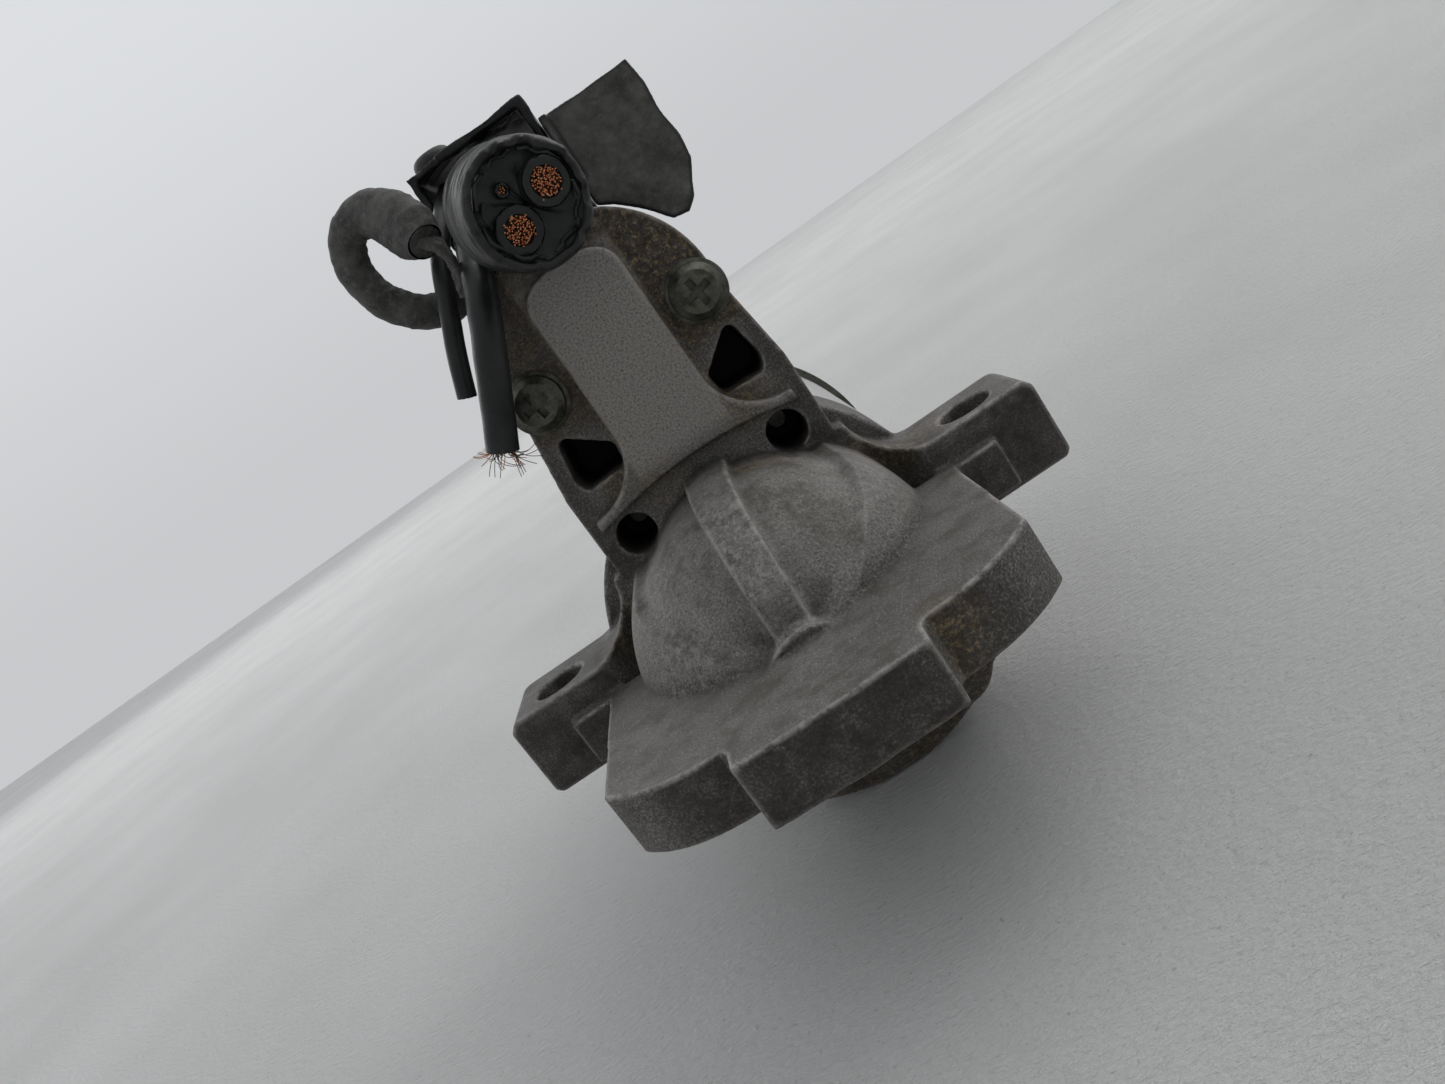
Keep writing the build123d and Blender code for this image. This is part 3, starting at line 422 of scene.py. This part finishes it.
# --- cables ---------------------------------------------------------------------------------------
# Control points in millimetres, from where each cord leaves its clip or lug to its cut end.
ROUTES = {
    "battery_cable_a": [
        (5.8, 81.9, 110.6), (5.7, 62, 110.5), (5.8, 42, 110.5), (5.8, 22, 110.4), (4.4, 6, 108.8),
        (3.6, -8.5, 105.6), (8.6, -26, 101.5),
    ],
    "battery_cable_b": [
        (-4.4, 81.9, 110.6), (-4.3, 62, 110.5), (-4.4, 42, 110.5), (-4.4, 22, 110.3),
        (-5.4, 6, 106.9), (-5.6, -8.5, 101.3), (-0.6, -26, 97.2),
    ],
    "signal_wire": [
        (-1.5, 60, 119.5), (-1.3, 38, 119.2), (-1.8, 20, 117.6), (-3.6, 5, 113),
        (-4.2, -9.5, 108.6), (1, -27, 104.6),
    ],
    "charge_cable": [
        (-13.2, 34, 110.3), (-13.1, 20, 109.2), (-13.6, 7.5, 104), (-15.4, -5.5, 95),
        (-19.6, -10.6, 85.8), (-25, -11.4, 76), (-31.3, -10.6, 65.3),
    ],
    "ignition_wire": [
        (-13.4, 31, 119.2), (-15, 18.5, 115.2), (-21.2, 7.6, 105.4), (-25.2, 2.6, 95),
        (-29.4, 1, 86.8), (-33, 1.4, 78.4),
    ],
    "branch_cable": [
        (-21.3, 36, 98.8), (-21.3, 26, 98.8), (-28, 19, 96.8), (-34.4, 15.8, 100.6),
        (-38.8, 14.4, 108), (-38.8, 13.4, 116.4), (-34, 12, 122.4), (-27, 9, 121.8),
        (-22.2, 4, 115.6), (-19.8, -2, 108.6),
    ],
}
CORD_STEP = 0.0006     # spacing of the points along a cord
ROUND = 28             # points round a cord's jacket and its cut face
STRAND_SIDES = 6
HAIR_SIDES = 5
HAIR_STEPS = 9


def centreline(route):
    """Points along the smooth NURBS curve that has the route as its control points."""
    curve = bpy.data.curves.new("route", "CURVE")
    curve.dimensions = "3D"
    curve.resolution_u = 24
    spline = curve.splines.new("NURBS")
    spline.points.add(len(route) - 1)
    for point, at in zip(spline.points, route):
        point.co = (at[0] * MM, at[1] * MM, at[2] * MM, 1)
    spline.order_u = 3
    spline.use_endpoint_u = True
    holder = bpy.data.objects.new("route", curve)
    bpy.context.scene.collection.objects.link(holder)
    bpy.context.view_layer.update()
    data = bpy.data.meshes.new_from_object(holder.evaluated_get(bpy.context.evaluated_depsgraph_get()))
    points = [v.co.copy() for v in data.vertices]
    bpy.data.objects.remove(holder)
    bpy.data.meshes.remove(data)
    return points


def frames(points):
    """A tangent and two side directions at each point, turned as little as possible."""
    tangents = []
    for k in range(len(points)):
        a, b = points[max(k - 1, 0)], points[min(k + 1, len(points) - 1)]
        tangents.append((b - a).normalized())
    side = tangents[0].orthogonal().normalized()
    made = []
    for t in tangents:
        side = (side - t * side.dot(t)).normalized()
        made.append((t, side, t.cross(side)))
    return made


def resampled(points, step):
    out = [points[0].copy()]
    left = step
    for a, b in zip(points, points[1:]):
        run = (b - a).length
        at = 0.0
        while run - at >= left:
            at += left
            out.append(a.lerp(b, at / run))
            left = step
        left -= run - at
    if (out[-1] - points[-1]).length > step * 0.3:
        out.append(points[-1].copy())
    else:
        out[-1] = points[-1].copy()
    return out


def tube(name, points, radius, around, mat, closed=(True, True)):
    """Tube along points; radius is a function of the length so far and the angle."""
    verts, faces, length = [], [], 0.0
    for k, (p, (t, u, v)) in enumerate(zip(points, frames(points))):
        if k:
            length += (p - points[k - 1]).length
        for j in range(around):
            a = 2 * math.pi * j / around
            r = radius(length, a)
            verts.append(p + (u * math.cos(a) + v * math.sin(a)) * r)
    rings = len(points)
    for k in range(rings - 1):
        faces += ring(k, around)
    if closed[0]:
        faces.append(tuple(reversed(range(around))))
    if closed[1]:
        faces.append(tuple(range((rings - 1) * around, rings * around)))
    return mesh_object(name, verts, faces, mat)


def length_of(points):
    return sum((b - a).length for a, b in zip(points, points[1:]))


def wobble(seed, amount, scale):
    """A smooth radius change along a cable and round it."""
    rng = random.Random(seed)
    waves = []
    for _ in range(7):
        along = rng.uniform(0.4, 2.4) / scale
        waves.append((along, rng.randint(0, 3), rng.uniform(0, 6.3), rng.uniform(0.3, 1)))
    total = sum(w[3] for w in waves)

    def value(s, a):
        return amount * sum(w * math.sin(f * s * 6.283 + n * a + p) for f, n, p, w in waves) / total
    return value


def wire_points(path, radius, sides):
    """Rings of points round a path."""
    points = []
    for p, (_, u, v) in zip(path, frames(path)):
        for j in range(sides):
            a = 2 * math.pi * j / sides
            points.append(p + (u * math.cos(a) + v * math.sin(a)) * radius)
    return points


def strands(name, centre, ahead, radius, wire, count, reach, seed, mat):
    """A bundle of cut copper strands: short bent wires round a centre, with ragged ends."""
    rng = random.Random(seed)
    ahead = ahead.normalized()
    u = ahead.orthogonal().normalized()
    v = ahead.cross(u)
    verts, faces = [], []
    golden = math.pi * (3 - math.sqrt(5))
    for n in range(count):
        r = radius * math.sqrt((n + 0.5) / count) * rng.uniform(0.92, 1.05)
        a = n * golden + rng.uniform(-0.25, 0.25)
        out = u * math.cos(a) + v * math.sin(a)
        foot = centre + out * r
        lean = ahead + out * rng.uniform(-0.15, 0.35)
        lean += u * rng.uniform(-0.3, 0.3) + v * rng.uniform(-0.3, 0.3)
        tip = foot + lean.normalized() * reach * rng.uniform(0.35, 1.0)
        mid = foot.lerp(tip, 0.5) + (u * rng.uniform(-1, 1) + v * rng.uniform(-1, 1)) * wire * 0.5
        path = [foot - ahead * 0.001, foot, mid, tip]
        base = len(verts)
        verts += wire_points(path, wire, STRAND_SIDES)
        for k in range(len(path) - 1):
            faces += [tuple(base + i for i in quad) for quad in ring(k, STRAND_SIDES)]
        faces.append(tuple(range(len(verts) - STRAND_SIDES, len(verts))))
    return mesh_object(name, verts, faces, mat)


def hairs(name, centre, ahead, radius, wire, count, reach, seed, mat):
    """Loose curled strands that stick out of a torn cable end."""
    rng = random.Random(seed)
    ahead = ahead.normalized()
    u = ahead.orthogonal().normalized()
    v = ahead.cross(u)
    verts, faces = [], []
    for _ in range(count):
        a = rng.uniform(0, 6.283)
        p = centre + (u * math.cos(a) + v * math.sin(a)) * radius * rng.uniform(0.5, 1.0)
        d = (ahead + (u * math.cos(a) + v * math.sin(a)) * rng.uniform(0.1, 1.3)).normalized()
        bend = Vector((rng.uniform(-0.5, 1.4), rng.uniform(-1, 1), rng.uniform(-0.8, 1.1)))
        bend *= rng.uniform(0.15, 0.5)
        path = [p - ahead * 0.0008, p]
        for _ in range(HAIR_STEPS):
            d = (d + bend * 0.55).normalized()
            p = p + d * reach * rng.uniform(0.5, 1.0) / HAIR_STEPS
            path.append(p)
        base = len(verts)
        verts += wire_points(path, wire, HAIR_SIDES)
        for k in range(len(path) - 1):
            faces += [tuple(base + i for i in quad) for quad in ring(k, HAIR_SIDES)]
    return mesh_object(name, verts, faces, mat)


BLACK = material("cable_black")
COPPER = material("copper")
LINES = {name: resampled(centreline(route), CORD_STEP) for name, route in ROUTES.items()}


def cable(name, diameter, mat, relief, core, wires, wire, reach, seed,
          wave=lambda s, a: 0.0):
    """A cord's jacket, its cut face and its strands."""
    line = LINES[name]
    change = wobble(seed, relief, 0.02)
    body = tube(name + "_jacket", line, lambda s, a: diameter / 2 + change(s, a) + wave(s, a),
                ROUND, mat, (True, False))
    # the cut end: a rim that turns in to the conductor
    end = line[-1]
    ahead = (line[-1] - line[-2]).normalized()
    u = frames(line)[-1][1]
    v = ahead.cross(u)
    rng = random.Random(seed + 5)
    verts, faces = [], []
    count = ROUND
    rings = [(diameter / 2 - 0.0001, -0.0002), (diameter / 2 - 0.0003, 0.0001), (core * 1.12, 0.0001),
             (core * 1.02, -0.0008), (core * 0.2, -0.0010)]
    for r, h in rings:
        for j in range(count):
            a = 2 * math.pi * j / count
            jag = rng.uniform(-1, 1) * 0.00012
            verts.append(end + (u * math.cos(a) + v * math.sin(a)) * (r + jag) + ahead * (h + jag))
    for k in range(len(rings) - 1):
        faces += ring(k, count)
    faces.append(tuple(range((len(rings) - 1) * count, len(rings) * count)))
    face = mesh_object(name + "_cut", verts, faces, mat)
    bare = strands(name + "_strands", end - ahead * 0.0010, ahead, core, wire, wires, reach, seed, mat=COPPER)
    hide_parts(name)


TAPE_PITCH = 0.0085
TAPE_DEPTH = 0.00022


def tape_wrap(pitch, depth):
    """Edges of overlapping turns of tape."""
    def value(s, a):
        turn = (s / pitch - a / (2 * math.pi)) % 1.0
        return depth * (turn - 0.5) + depth * 0.3 * math.sin(s * 2100 + 3 * a)
    return value


SLEEVE_REAR = Vector((-1.8, -7.5, 104.2)) * MM
SLEEVE_FRONT = Vector((3.6, -26, 100)) * MM
PACKING_R = 10.5       # millimetres, inside the sleeve
SHREDS = 9


def sleeve():
    """The loom's thick wound sleeve, ribbed outside and torn at the front, and what packs it."""
    rear, front = SLEEVE_REAR, SLEEVE_FRONT
    ahead = (front - rear).normalized()
    u = Vector((0, 0, 1)).cross(ahead).normalized()
    v = ahead.cross(u)
    rng = random.Random(4)
    around = 96
    outline = [(11.2, 0.0), (12.2, 0.1), (12.45, 0.8)]
    length = (front - rear).length * 1000
    steps = 46
    for k in range(steps):
        x = 1.2 + (length - 2.6) * k / (steps - 1)
        outline.append((12.35 + 0.32 * (abs(math.sin(k * 0.9)) ** 0.7) * (0.6 + 0.4 * math.sin(k * 2.3)), x))
    outline += [(12.4, length - 0.9), (12.15, length), (11.5, length + 0.5), (10.7, length + 0.2),
                (10.4, length - 1.6), (10.3, length - 6), (10.3, 1.0), (11.2, 0.0)]
    tears = [rng.uniform(-1, 1) for _ in range(around)]
    tears = [(tears[j - 1] + tears[j] * 2 + tears[(j + 1) % around]) / 4 for j in range(around)]
    verts, faces = [], []
    for r, x in outline:
        for j in range(around):
            a = 2 * math.pi * j / around
            near = max(0.0, (x - (length - 2.2)) / 2.4)
            wave = 0.10 * math.sin(3 * a + x * 0.7) + 0.06 * math.sin(7 * a - x * 1.9)
            rr = (r + wave + near * tears[j] * 0.35) * MM
            xx = (x + near * (tears[j] * 0.9 + 0.35 * math.sin(5 * a))) * MM
            verts.append(rear + ahead * xx + (u * math.cos(a) + v * math.sin(a)) * rr)
    for k in range(len(outline) - 1):
        faces += ring(k, around)
    shell = mesh_object("loom_wrap", verts, faces, material("sleeve"), 60)
    # packing between the conductors: wrinkled film and filler cords
    fill_v, fill_f = [], []
    count = 72
    folds = [(1.0, -0.6), (0.93, -1.3), (0.80, -1.6), (0.6, -1.9), (0.35, -2.1), (0.08, -2.0)]
    for i, (share, depth) in enumerate(folds):
        for j in range(count):
            a = 2 * math.pi * j / count
            crinkle = 0.5 * math.sin(9 * a + i * 1.7) * math.sin(4 * a - i) + rng.uniform(-0.25, 0.25)
            across = u * math.cos(a) + v * math.sin(a)
            fill_v.append(front + ahead * (depth + crinkle * 0.8) * MM + across * PACKING_R * share * MM)
    for k in range(len(folds) - 1):
        fill_f += ring(k, count)
    filler = mesh_object("loom_packing", fill_v, fill_f, BLACK, 80)
    bits = []
    for n in range(SHREDS):
        a = n * 0.72 + rng.uniform(-0.2, 0.2)
        r = rng.uniform(8.6, 10.2)
        path = []
        for k in range(9):
            b = a + (k - 4) * rng.uniform(0.05, 0.12)
            h = 0.4 + 0.7 * math.sin(k * 0.8 + n)
            across = u * math.cos(b) + v * math.sin(b)
            path.append(front + ahead * (h - 0.9) * MM + across * (r + 0.3 * math.sin(k + n)) * MM)
        bits.append(tube("loom_shred_%d" % n, path, lambda s, a: 0.00042, 8, BLACK))
    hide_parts("loom_sleeve")
    return [shell, filler, *bits]


loom_bits = sleeve()
cable("battery_cable_a", 0.0095, BLACK, relief=0.00012, core=0.00275, wires=170, wire=0.00016,
      reach=0.0016, seed=11)
cable("battery_cable_b", 0.0095, BLACK, relief=0.00012, core=0.00265, wires=160, wire=0.00016,
      reach=0.0018, seed=12)
cable("signal_wire", 0.003, BLACK, relief=0.00004, core=0.0008, wires=14, wire=0.00012,
      reach=0.0010, seed=13)
cable("ignition_wire", 0.0044, BLACK, relief=0.00006, core=0.0009, wires=12, wire=0.00012,
      reach=0.0008, seed=14)

end = LINES["charge_cable"][-1]
ahead = end - LINES["charge_cable"][-4]
frayed = hairs("charge_cable_hairs", end, ahead, radius=0.0024, wire=0.000085, count=20, reach=0.0060,
               seed=21, mat=COPPER)
dark_hairs = hairs("charge_cable_dark_hairs", end, ahead, radius=0.0030, wire=0.00008, count=22, reach=0.0085,
                   seed=22, mat=BLACK)
cable("charge_cable", 0.007, BLACK, relief=0.00010, core=0.0022, wires=60, wire=0.00016,
      reach=0.0022, seed=15)


def swollen(line):
    """Tape turns, thicker and flattened towards the torn end."""
    turns = tape_wrap(TAPE_PITCH, TAPE_DEPTH)
    total = length_of(line)

    def value(s, a):
        near = max(0.0, min(1.0, (s - total + 0.026) / 0.014))
        near *= max(0.0, min(1.0, (total - s) / 0.004))
        return 0.0003 + turns(s, a) + near * (0.0013 + 0.0009 * math.cos(2 * a + 0.6))
    return value


tip = LINES["branch_cable"][-1] / MM
FLAP = [(-0.6, 0.8, 1.5), (1.6, 0.2, -1.0), (2.2, 0.8, -5.5), (1.0, 2.0, -9.5), (-0.8, 3.2, -13.0)]
flap = resampled(centreline([tuple(tip + Vector(p)) for p in FLAP]), CORD_STEP)
flap_length = length_of(flap)


def flap_radius(s, a):
    """A twisted, flattened strip that tapers to its end."""
    twist = 2.2 * s / flap_length
    flat = 0.42 + 0.58 * abs(math.cos(a + twist))
    return (0.0026 - 0.0017 * s / flap_length) * flat + 0.00018 * math.sin(2600 * s + 3 * a)


torn_flap = tube("branch_torn_flap", flap, flap_radius, 16, material("tape"))
cable("branch_cable", 0.0074, material("tape"), relief=0.00022, core=0.0013, wires=40, wire=0.00014,
      reach=0.0012, seed=16, wave=swollen(LINES["branch_cable"]))


# --- housing: the casting with soft edges, and masks for its wear, its painted shade and its painted highlights ---
def average(values, a, b, count, times, share=0.5):
    """Each value moved towards the mean of its neighbours along the edges a-b."""
    for _ in range(times):
        columns = []
        for column in values.T:
            columns.append(np.bincount(a, column[b], len(column)) + np.bincount(b, column[a], len(column)))
        total = np.stack(columns, 1)
        values = values * (1 - share) + share * total / count[:, None]
    return values


def cast_copy(node, name, voxel, soften):
    """A remeshed, softened copy of a CAD node.

    It comes with its points, their normals, and how far each lies in a hollow (+) or on an edge (-),
    on a small and on a large scale.
    """
    source = NODES[node]
    obj = bpy.data.objects.new(name, source.data.copy())
    bpy.context.scene.collection.objects.link(obj)
    work = bmesh.new()
    work.from_mesh(obj.data)
    bmesh.ops.remove_doubles(work, verts=work.verts, dist=2e-6)
    work.to_mesh(obj.data)
    work.free()
    mod = obj.modifiers.new("voxels", "REMESH")
    mod.mode = "VOXEL"
    mod.voxel_size = voxel
    bpy.context.view_layer.update()
    made = bpy.data.meshes.new_from_object(obj.evaluated_get(bpy.context.evaluated_depsgraph_get()))
    obj.modifiers.clear()
    obj.data = made
    made.name = name
    n = len(made.vertices)
    co = np.empty(n * 3)
    made.vertices.foreach_get("co", co)
    co = co.reshape(-1, 3)
    ends = np.empty(len(made.edges) * 2, int)
    made.edges.foreach_get("vertices", ends)
    a, b = ends.reshape(-1, 2).T
    count = np.maximum(np.bincount(a, minlength=n) + np.bincount(b, minlength=n), 1)
    soft = average(co, a, b, count, soften)
    made.vertices.foreach_set("co", soft.ravel())
    made.update()
    normal = np.empty(n * 3)
    made.vertices.foreach_get("normal", normal)
    normal = normal.reshape(-1, 3)
    near = average(soft, a, b, count, 10)
    far = average(near, a, b, count, 60)
    small = ((near - soft) * normal).sum(1) / voxel
    large = ((far - soft) * normal).sum(1) / voxel
    return obj, soft, normal, small, large


def paint(obj, name, values):
    layer = obj.data.attributes.new(name, "FLOAT", "POINT")
    layer.data.foreach_set("value", np.clip(values, 0, 1).astype(np.float32))


def step(x, low, high):
    t = np.clip((x - low) / (high - low), 0, 1)
    return t * t * (3 - 2 * t)


def near_point(co, x, y, z, radius):
    d = np.sqrt((co[:, 0] - x) ** 2 + (co[:, 1] - y) ** 2 + (co[:, 2] - z) ** 2)
    return 1 - step(d, radius * 0.35, radius)


# Places in millimetres, radius, and share: black-brown grime, and golden-brown dust.
DIRT_SPOTS = (
    (24, 3, 25, 11, 1.0), (-27, 3, 30, 10, 0.8), (40, -3, 18, 13, 0.9), (-40, -3, 18, 13, 0.9),
    (16, 1, 47, 7, 0.7), (-16, 1, 47, 6, 0.6), (8, -14, 35, 7, 0.5),
)
GOLD_SPOTS = (
    (15, 1, 45, 11, 0.9), (-16, 1, 46, 9, 0.7), (12, -10, 34, 10, 1.0), (23, -71, 2, 9, 1.0),
    (37, -5, 20, 12, 0.8), (-37, -5, 20, 12, 0.7), (46, 2, 14, 9, 0.6), (-9, -2, 39, 9, 0.6),
)


def housing():
    """The casting, and the painted masks that its material reads."""
    voxel, soften = ((0.00052, 3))
    obj, co, normal, small, large = cast_copy("drive_end_housing", "drive_end_casting", voxel, soften)
    mm = co / MM
    x, y, z = mm.T
    # painted shade: hollows on a large scale are darkened
    hollow = step(large, 0.45, 2.2)
    edge = step(-small, 0.12, 0.40)
    paint(obj, "hollow", hollow)
    # worn edges, weighted towards edges facing up as a painted highlight
    paint(obj, "edge", edge * (1 - step(hollow, 0.2, 0.6)) * (0.35 + 0.65 * step(normal[:, 2], -0.4, 0.3)))
    # faces turned up and faces turned to the key light: the material paints a highlight there, and brown dust
    to_light = step(normal[:, 0] * 0.56 + normal[:, 2] * 0.8, 0.3, 0.9)
    paint(obj, "up", step(normal[:, 2], 0.35, 0.85) * 0.9 + to_light * 0.3)
    # painted shade: faces that face the nose low down, the undersides, and all below about z = -5 mm are
    # darkened
    front_and_under_shade = step(-normal[:, 1], 0.80, 0.97) * (1 - step(z, 16, 22))
    front_and_under_shade = front_and_under_shade + step(-normal[:, 2], 0.6, 0.9) * (z < 0)
    front_and_under_shade = np.maximum(front_and_under_shade, (1 - step(z, -6.5, -5.0)) * 0.85)
    paint(obj, "front_and_under_shade", front_and_under_shade)
    # pale oxide on the dome's rib and on both its sides
    rib = step(-np.abs(x) + 6.5, 0, 2.5) * step(-y, 22, 40) * step(z, 6, 12)
    wing = step(-x, 8, 20) * step(-y, 26, 46) * step(z, 7.5, 10) * (1 - step(z, 18, 26))
    other = step(x, 18, 26) * step(-y, 10, 30) * step(z, 8, 14) * 0.55
    paint(obj, "pale", np.maximum(np.maximum(rib, wing), other))
    front = y < 5
    # the raised band and the dome's crown show bare sand-textured metal
    band = front * step(z, 40, 46) * step(12.6 - np.abs(x), 0, 1.0)
    from_dome = np.sqrt(x ** 2 + (y + 16) ** 2 + z ** 2)
    crown = step(from_dome, 32, 34) * (y < -8) * step(z, 9, 13) * (z < 37) * 0.50
    paint(obj, "sand", np.maximum(band, crown))
    # the lobe beside and above the band is grimy, most at +x
    lobe = front * step(z, 56, 62) * np.maximum(step(np.abs(x), 11.6, 13.2), step(z, 88.5, 91))
    low_side = front * step(np.abs(x), 23, 26) * step(z, 20, 28) * 0.55
    dirt = np.maximum(lobe * np.where(x > 0, 1.0, 0.72), low_side)
    for px, py, pz, radius, share in DIRT_SPOTS:
        dirt = np.maximum(dirt, near_point(mm, px, py, pz, radius) * share)
    paint(obj, "dirt", dirt)
    gold = lobe * np.where(x > 0, 0.95, 0.6)
    rim = front * step(z, 47, 52) * (1 - step(np.abs(np.abs(x) - 11.9), 0.4, 1.6))
    gold = np.maximum(gold, rim)
    for px, py, pz, radius, share in GOLD_SPOTS:
        gold = np.maximum(gold, near_point(mm, px, py, pz, radius) * share)
    gold = np.maximum(gold, step(-z, 12, 30) * 0.7)
    paint(obj, "gold", gold)
    # painted shade: the insides of the openings are darkened, and the bore at half strength
    pocket = (np.abs(np.abs(x) - 18.6) < 7.5) & (z > 44) & (z < 62.5)
    round_hole = np.hypot(np.abs(x) - 20.3, z - 32.6) < 5.2
    inside = (y > 1.2) & (y < 29.5) & (pocket | round_hole)
    bore = (np.hypot(x, z) < 23.0) & (y > -39.5) & (z > -5.4)
    paint(obj, "deep", np.where(inside, step(y, 3, 11) * 0.95, 0) + np.where(bore, 0.5, 0))
    dress(obj, material("cast_housing"))
    shade_round(obj)
    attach(obj, "frame")
    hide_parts("drive_end_housing")


housing()


# --- torn terminal cover and shield: the CAD's solids with softened, uneven edges -------------------
TORN_WAVES = 5
TORN_DEPTH = 0.00016


def torn(node, name, voxel, marks, finish):
    """A softened copy of a plastic node, uneven by as much as marks says at each point."""
    obj, co, normal, small, _ = cast_copy(node, name, voxel, 2)
    paint(obj, "edge", step(np.abs(small), 0.10, 0.35))
    rng = np.random.default_rng(7)
    x, y, z = (co / MM).T
    push = np.zeros_like(co)
    for k in range(TORN_WAVES):
        f = 0.35 * 1.9 ** k
        phase = rng.uniform(0, 6.28, 3)
        wave = np.sin(f * x + phase[0]) * np.sin(f * z + phase[1]) * np.cos(f * y * 0.7 + phase[2])
        push += wave[:, None] * normal * TORN_DEPTH / (k + 1)
    push *= marks(x, y, z)[:, None]
    obj.data.vertices.foreach_set("co", (co + push).ravel())
    obj.data.update()
    dress(obj, material(finish))
    shade_round(obj)
    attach(obj, "frame")
    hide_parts(node)


torn("terminal_shield", "torn_shield", 0.00035,
     lambda x, y, z: np.ones_like(x), "dusty")
torn("terminal_cover", "torn_cover", 0.0005,
     lambda x, y, z: 0.6 + step(-y, -40, -20) * 2, "black_plastic")


# --- every other CAD node: its own procedural finish, round shading, and softened edges on those listed below ---
BEVEL_WIDTH = 0.0003
SOFT_EDGED = (
    "solenoid_screws", "through_bolts", "stud_nuts", "cover_knob", "rear_cover", "yoke_tube", "pinion",
)
SLOT_OF = {s["node"]: s["material_slot"] for s in frame["record"]["subparts"]}
for name, obj in NODES.items():
    if obj.hide_render:
        continue
    dress(obj, material(SLOT_OF[name]))
    smooth(obj, 30)
    if name in SOFT_EDGED:
        bevel = obj.modifiers.new("soft_edges", "BEVEL")
        bevel.width = BEVEL_WIDTH
        bevel.segments = 2
        bevel.limit_method = "ANGLE"
        bevel.angle_limit = math.radians(38)

# --- floor and light --------------------------------------------------------------------------------
FLOOR_SIZE = 3.0
FLOOR_GAP = 0.0003     # below the lowest point of the part


def floor():
    data = bpy.data.meshes.new("floor")
    size = FLOOR_SIZE
    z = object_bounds()[0].z - FLOOR_GAP
    corners = [(-size, -size, z), (size, -size, z), (size, size, z), (-size, size, z)]
    data.from_pydata(corners, [], [(0, 1, 2, 3)])
    obj = bpy.data.objects.new("floor", data)
    bpy.context.scene.collection.objects.link(obj)
    m = Mat("pale_floor", specular=0.12)
    m.colour = m.mix(m.mask(m.noise(120, 5, 0.5), 0.3, 0.7), (0.62, 0.62, 0.615), (0.69, 0.69, 0.685))
    m.layer(m.math("MULTIPLY", m.mask(m.noise(1.2, 2, 0.5), 0.70, 0.76), 0.5), (0.30, 0.29, 0.27))
    m.rough(m.noise(3, 4, 0.6), 0.70, 0.90)
    m.bump(m.noise(3.0, 5, 0.75, stretch=(1, 2.4, 1)), 1.6)
    m.bump(m.noise(1.3, 3, 0.6), 0.22)
    dress(obj, m.done())
    obj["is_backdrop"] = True


floor()


# --- light: a high window to the right and behind, a soft fill, and a dim sky that fades forwards -----
def area(name, at, aim, size, power, colour=(1, 1, 1)):
    data = bpy.data.lights.new(name, "AREA")
    data.shape = "RECTANGLE"
    data.size, data.size_y = size
    data.energy = power
    data.color = colour
    obj = bpy.data.objects.new(name, data)
    bpy.context.scene.collection.objects.link(obj)
    obj.location = at
    obj.rotation_euler = (Vector(aim) - Vector(at)).to_track_quat("-Z", "Y").to_euler()


area("window", at=(2.0, 1.3, 2.5), aim=(0, 0, 0.03), size=(2.6, 2.6), power=40, colour=(1.0, 0.985, 0.96))
area("rear_fill", at=(-1.2, 1.7, 1.1), aim=(0, 0.05, 0.03), size=(1.6, 1.4), power=8)
world = bpy.data.worlds.new("world")
bpy.context.scene.world = world
world.use_nodes = True
tree = world.node_tree
axes = tree.nodes.new("ShaderNodeSeparateXYZ")
tree.links.new(tree.nodes.new("ShaderNodeTexCoord").outputs["Generated"], axes.inputs[0])


def ramp(axis, low, high, near, far):
    node = tree.nodes.new("ShaderNodeMapRange")
    node.interpolation_type = "SMOOTHSTEP"
    for key, value in (("From Min", low), ("From Max", high), ("To Min", near), ("To Max", far)):
        node.inputs[key].default_value = value
    tree.links.new(axes.outputs[axis], node.inputs["Value"])
    return node.outputs["Result"]


both = tree.nodes.new("ShaderNodeMath")
both.operation = "MULTIPLY"
tree.links.new(ramp("Y", -0.9, 0.4, 0.62, 1.0), both.inputs[0])
tree.links.new(ramp("Z", 0.0, 0.42, 0.80, 1.0), both.inputs[1])
tree.links.new(both.outputs[0], tree.nodes["Background"].inputs["Strength"])
tree.nodes["Background"].inputs["Color"].default_value = (0.72, 0.735, 0.755, 1)
bpy.context.scene.view_settings.view_transform = "Standard"
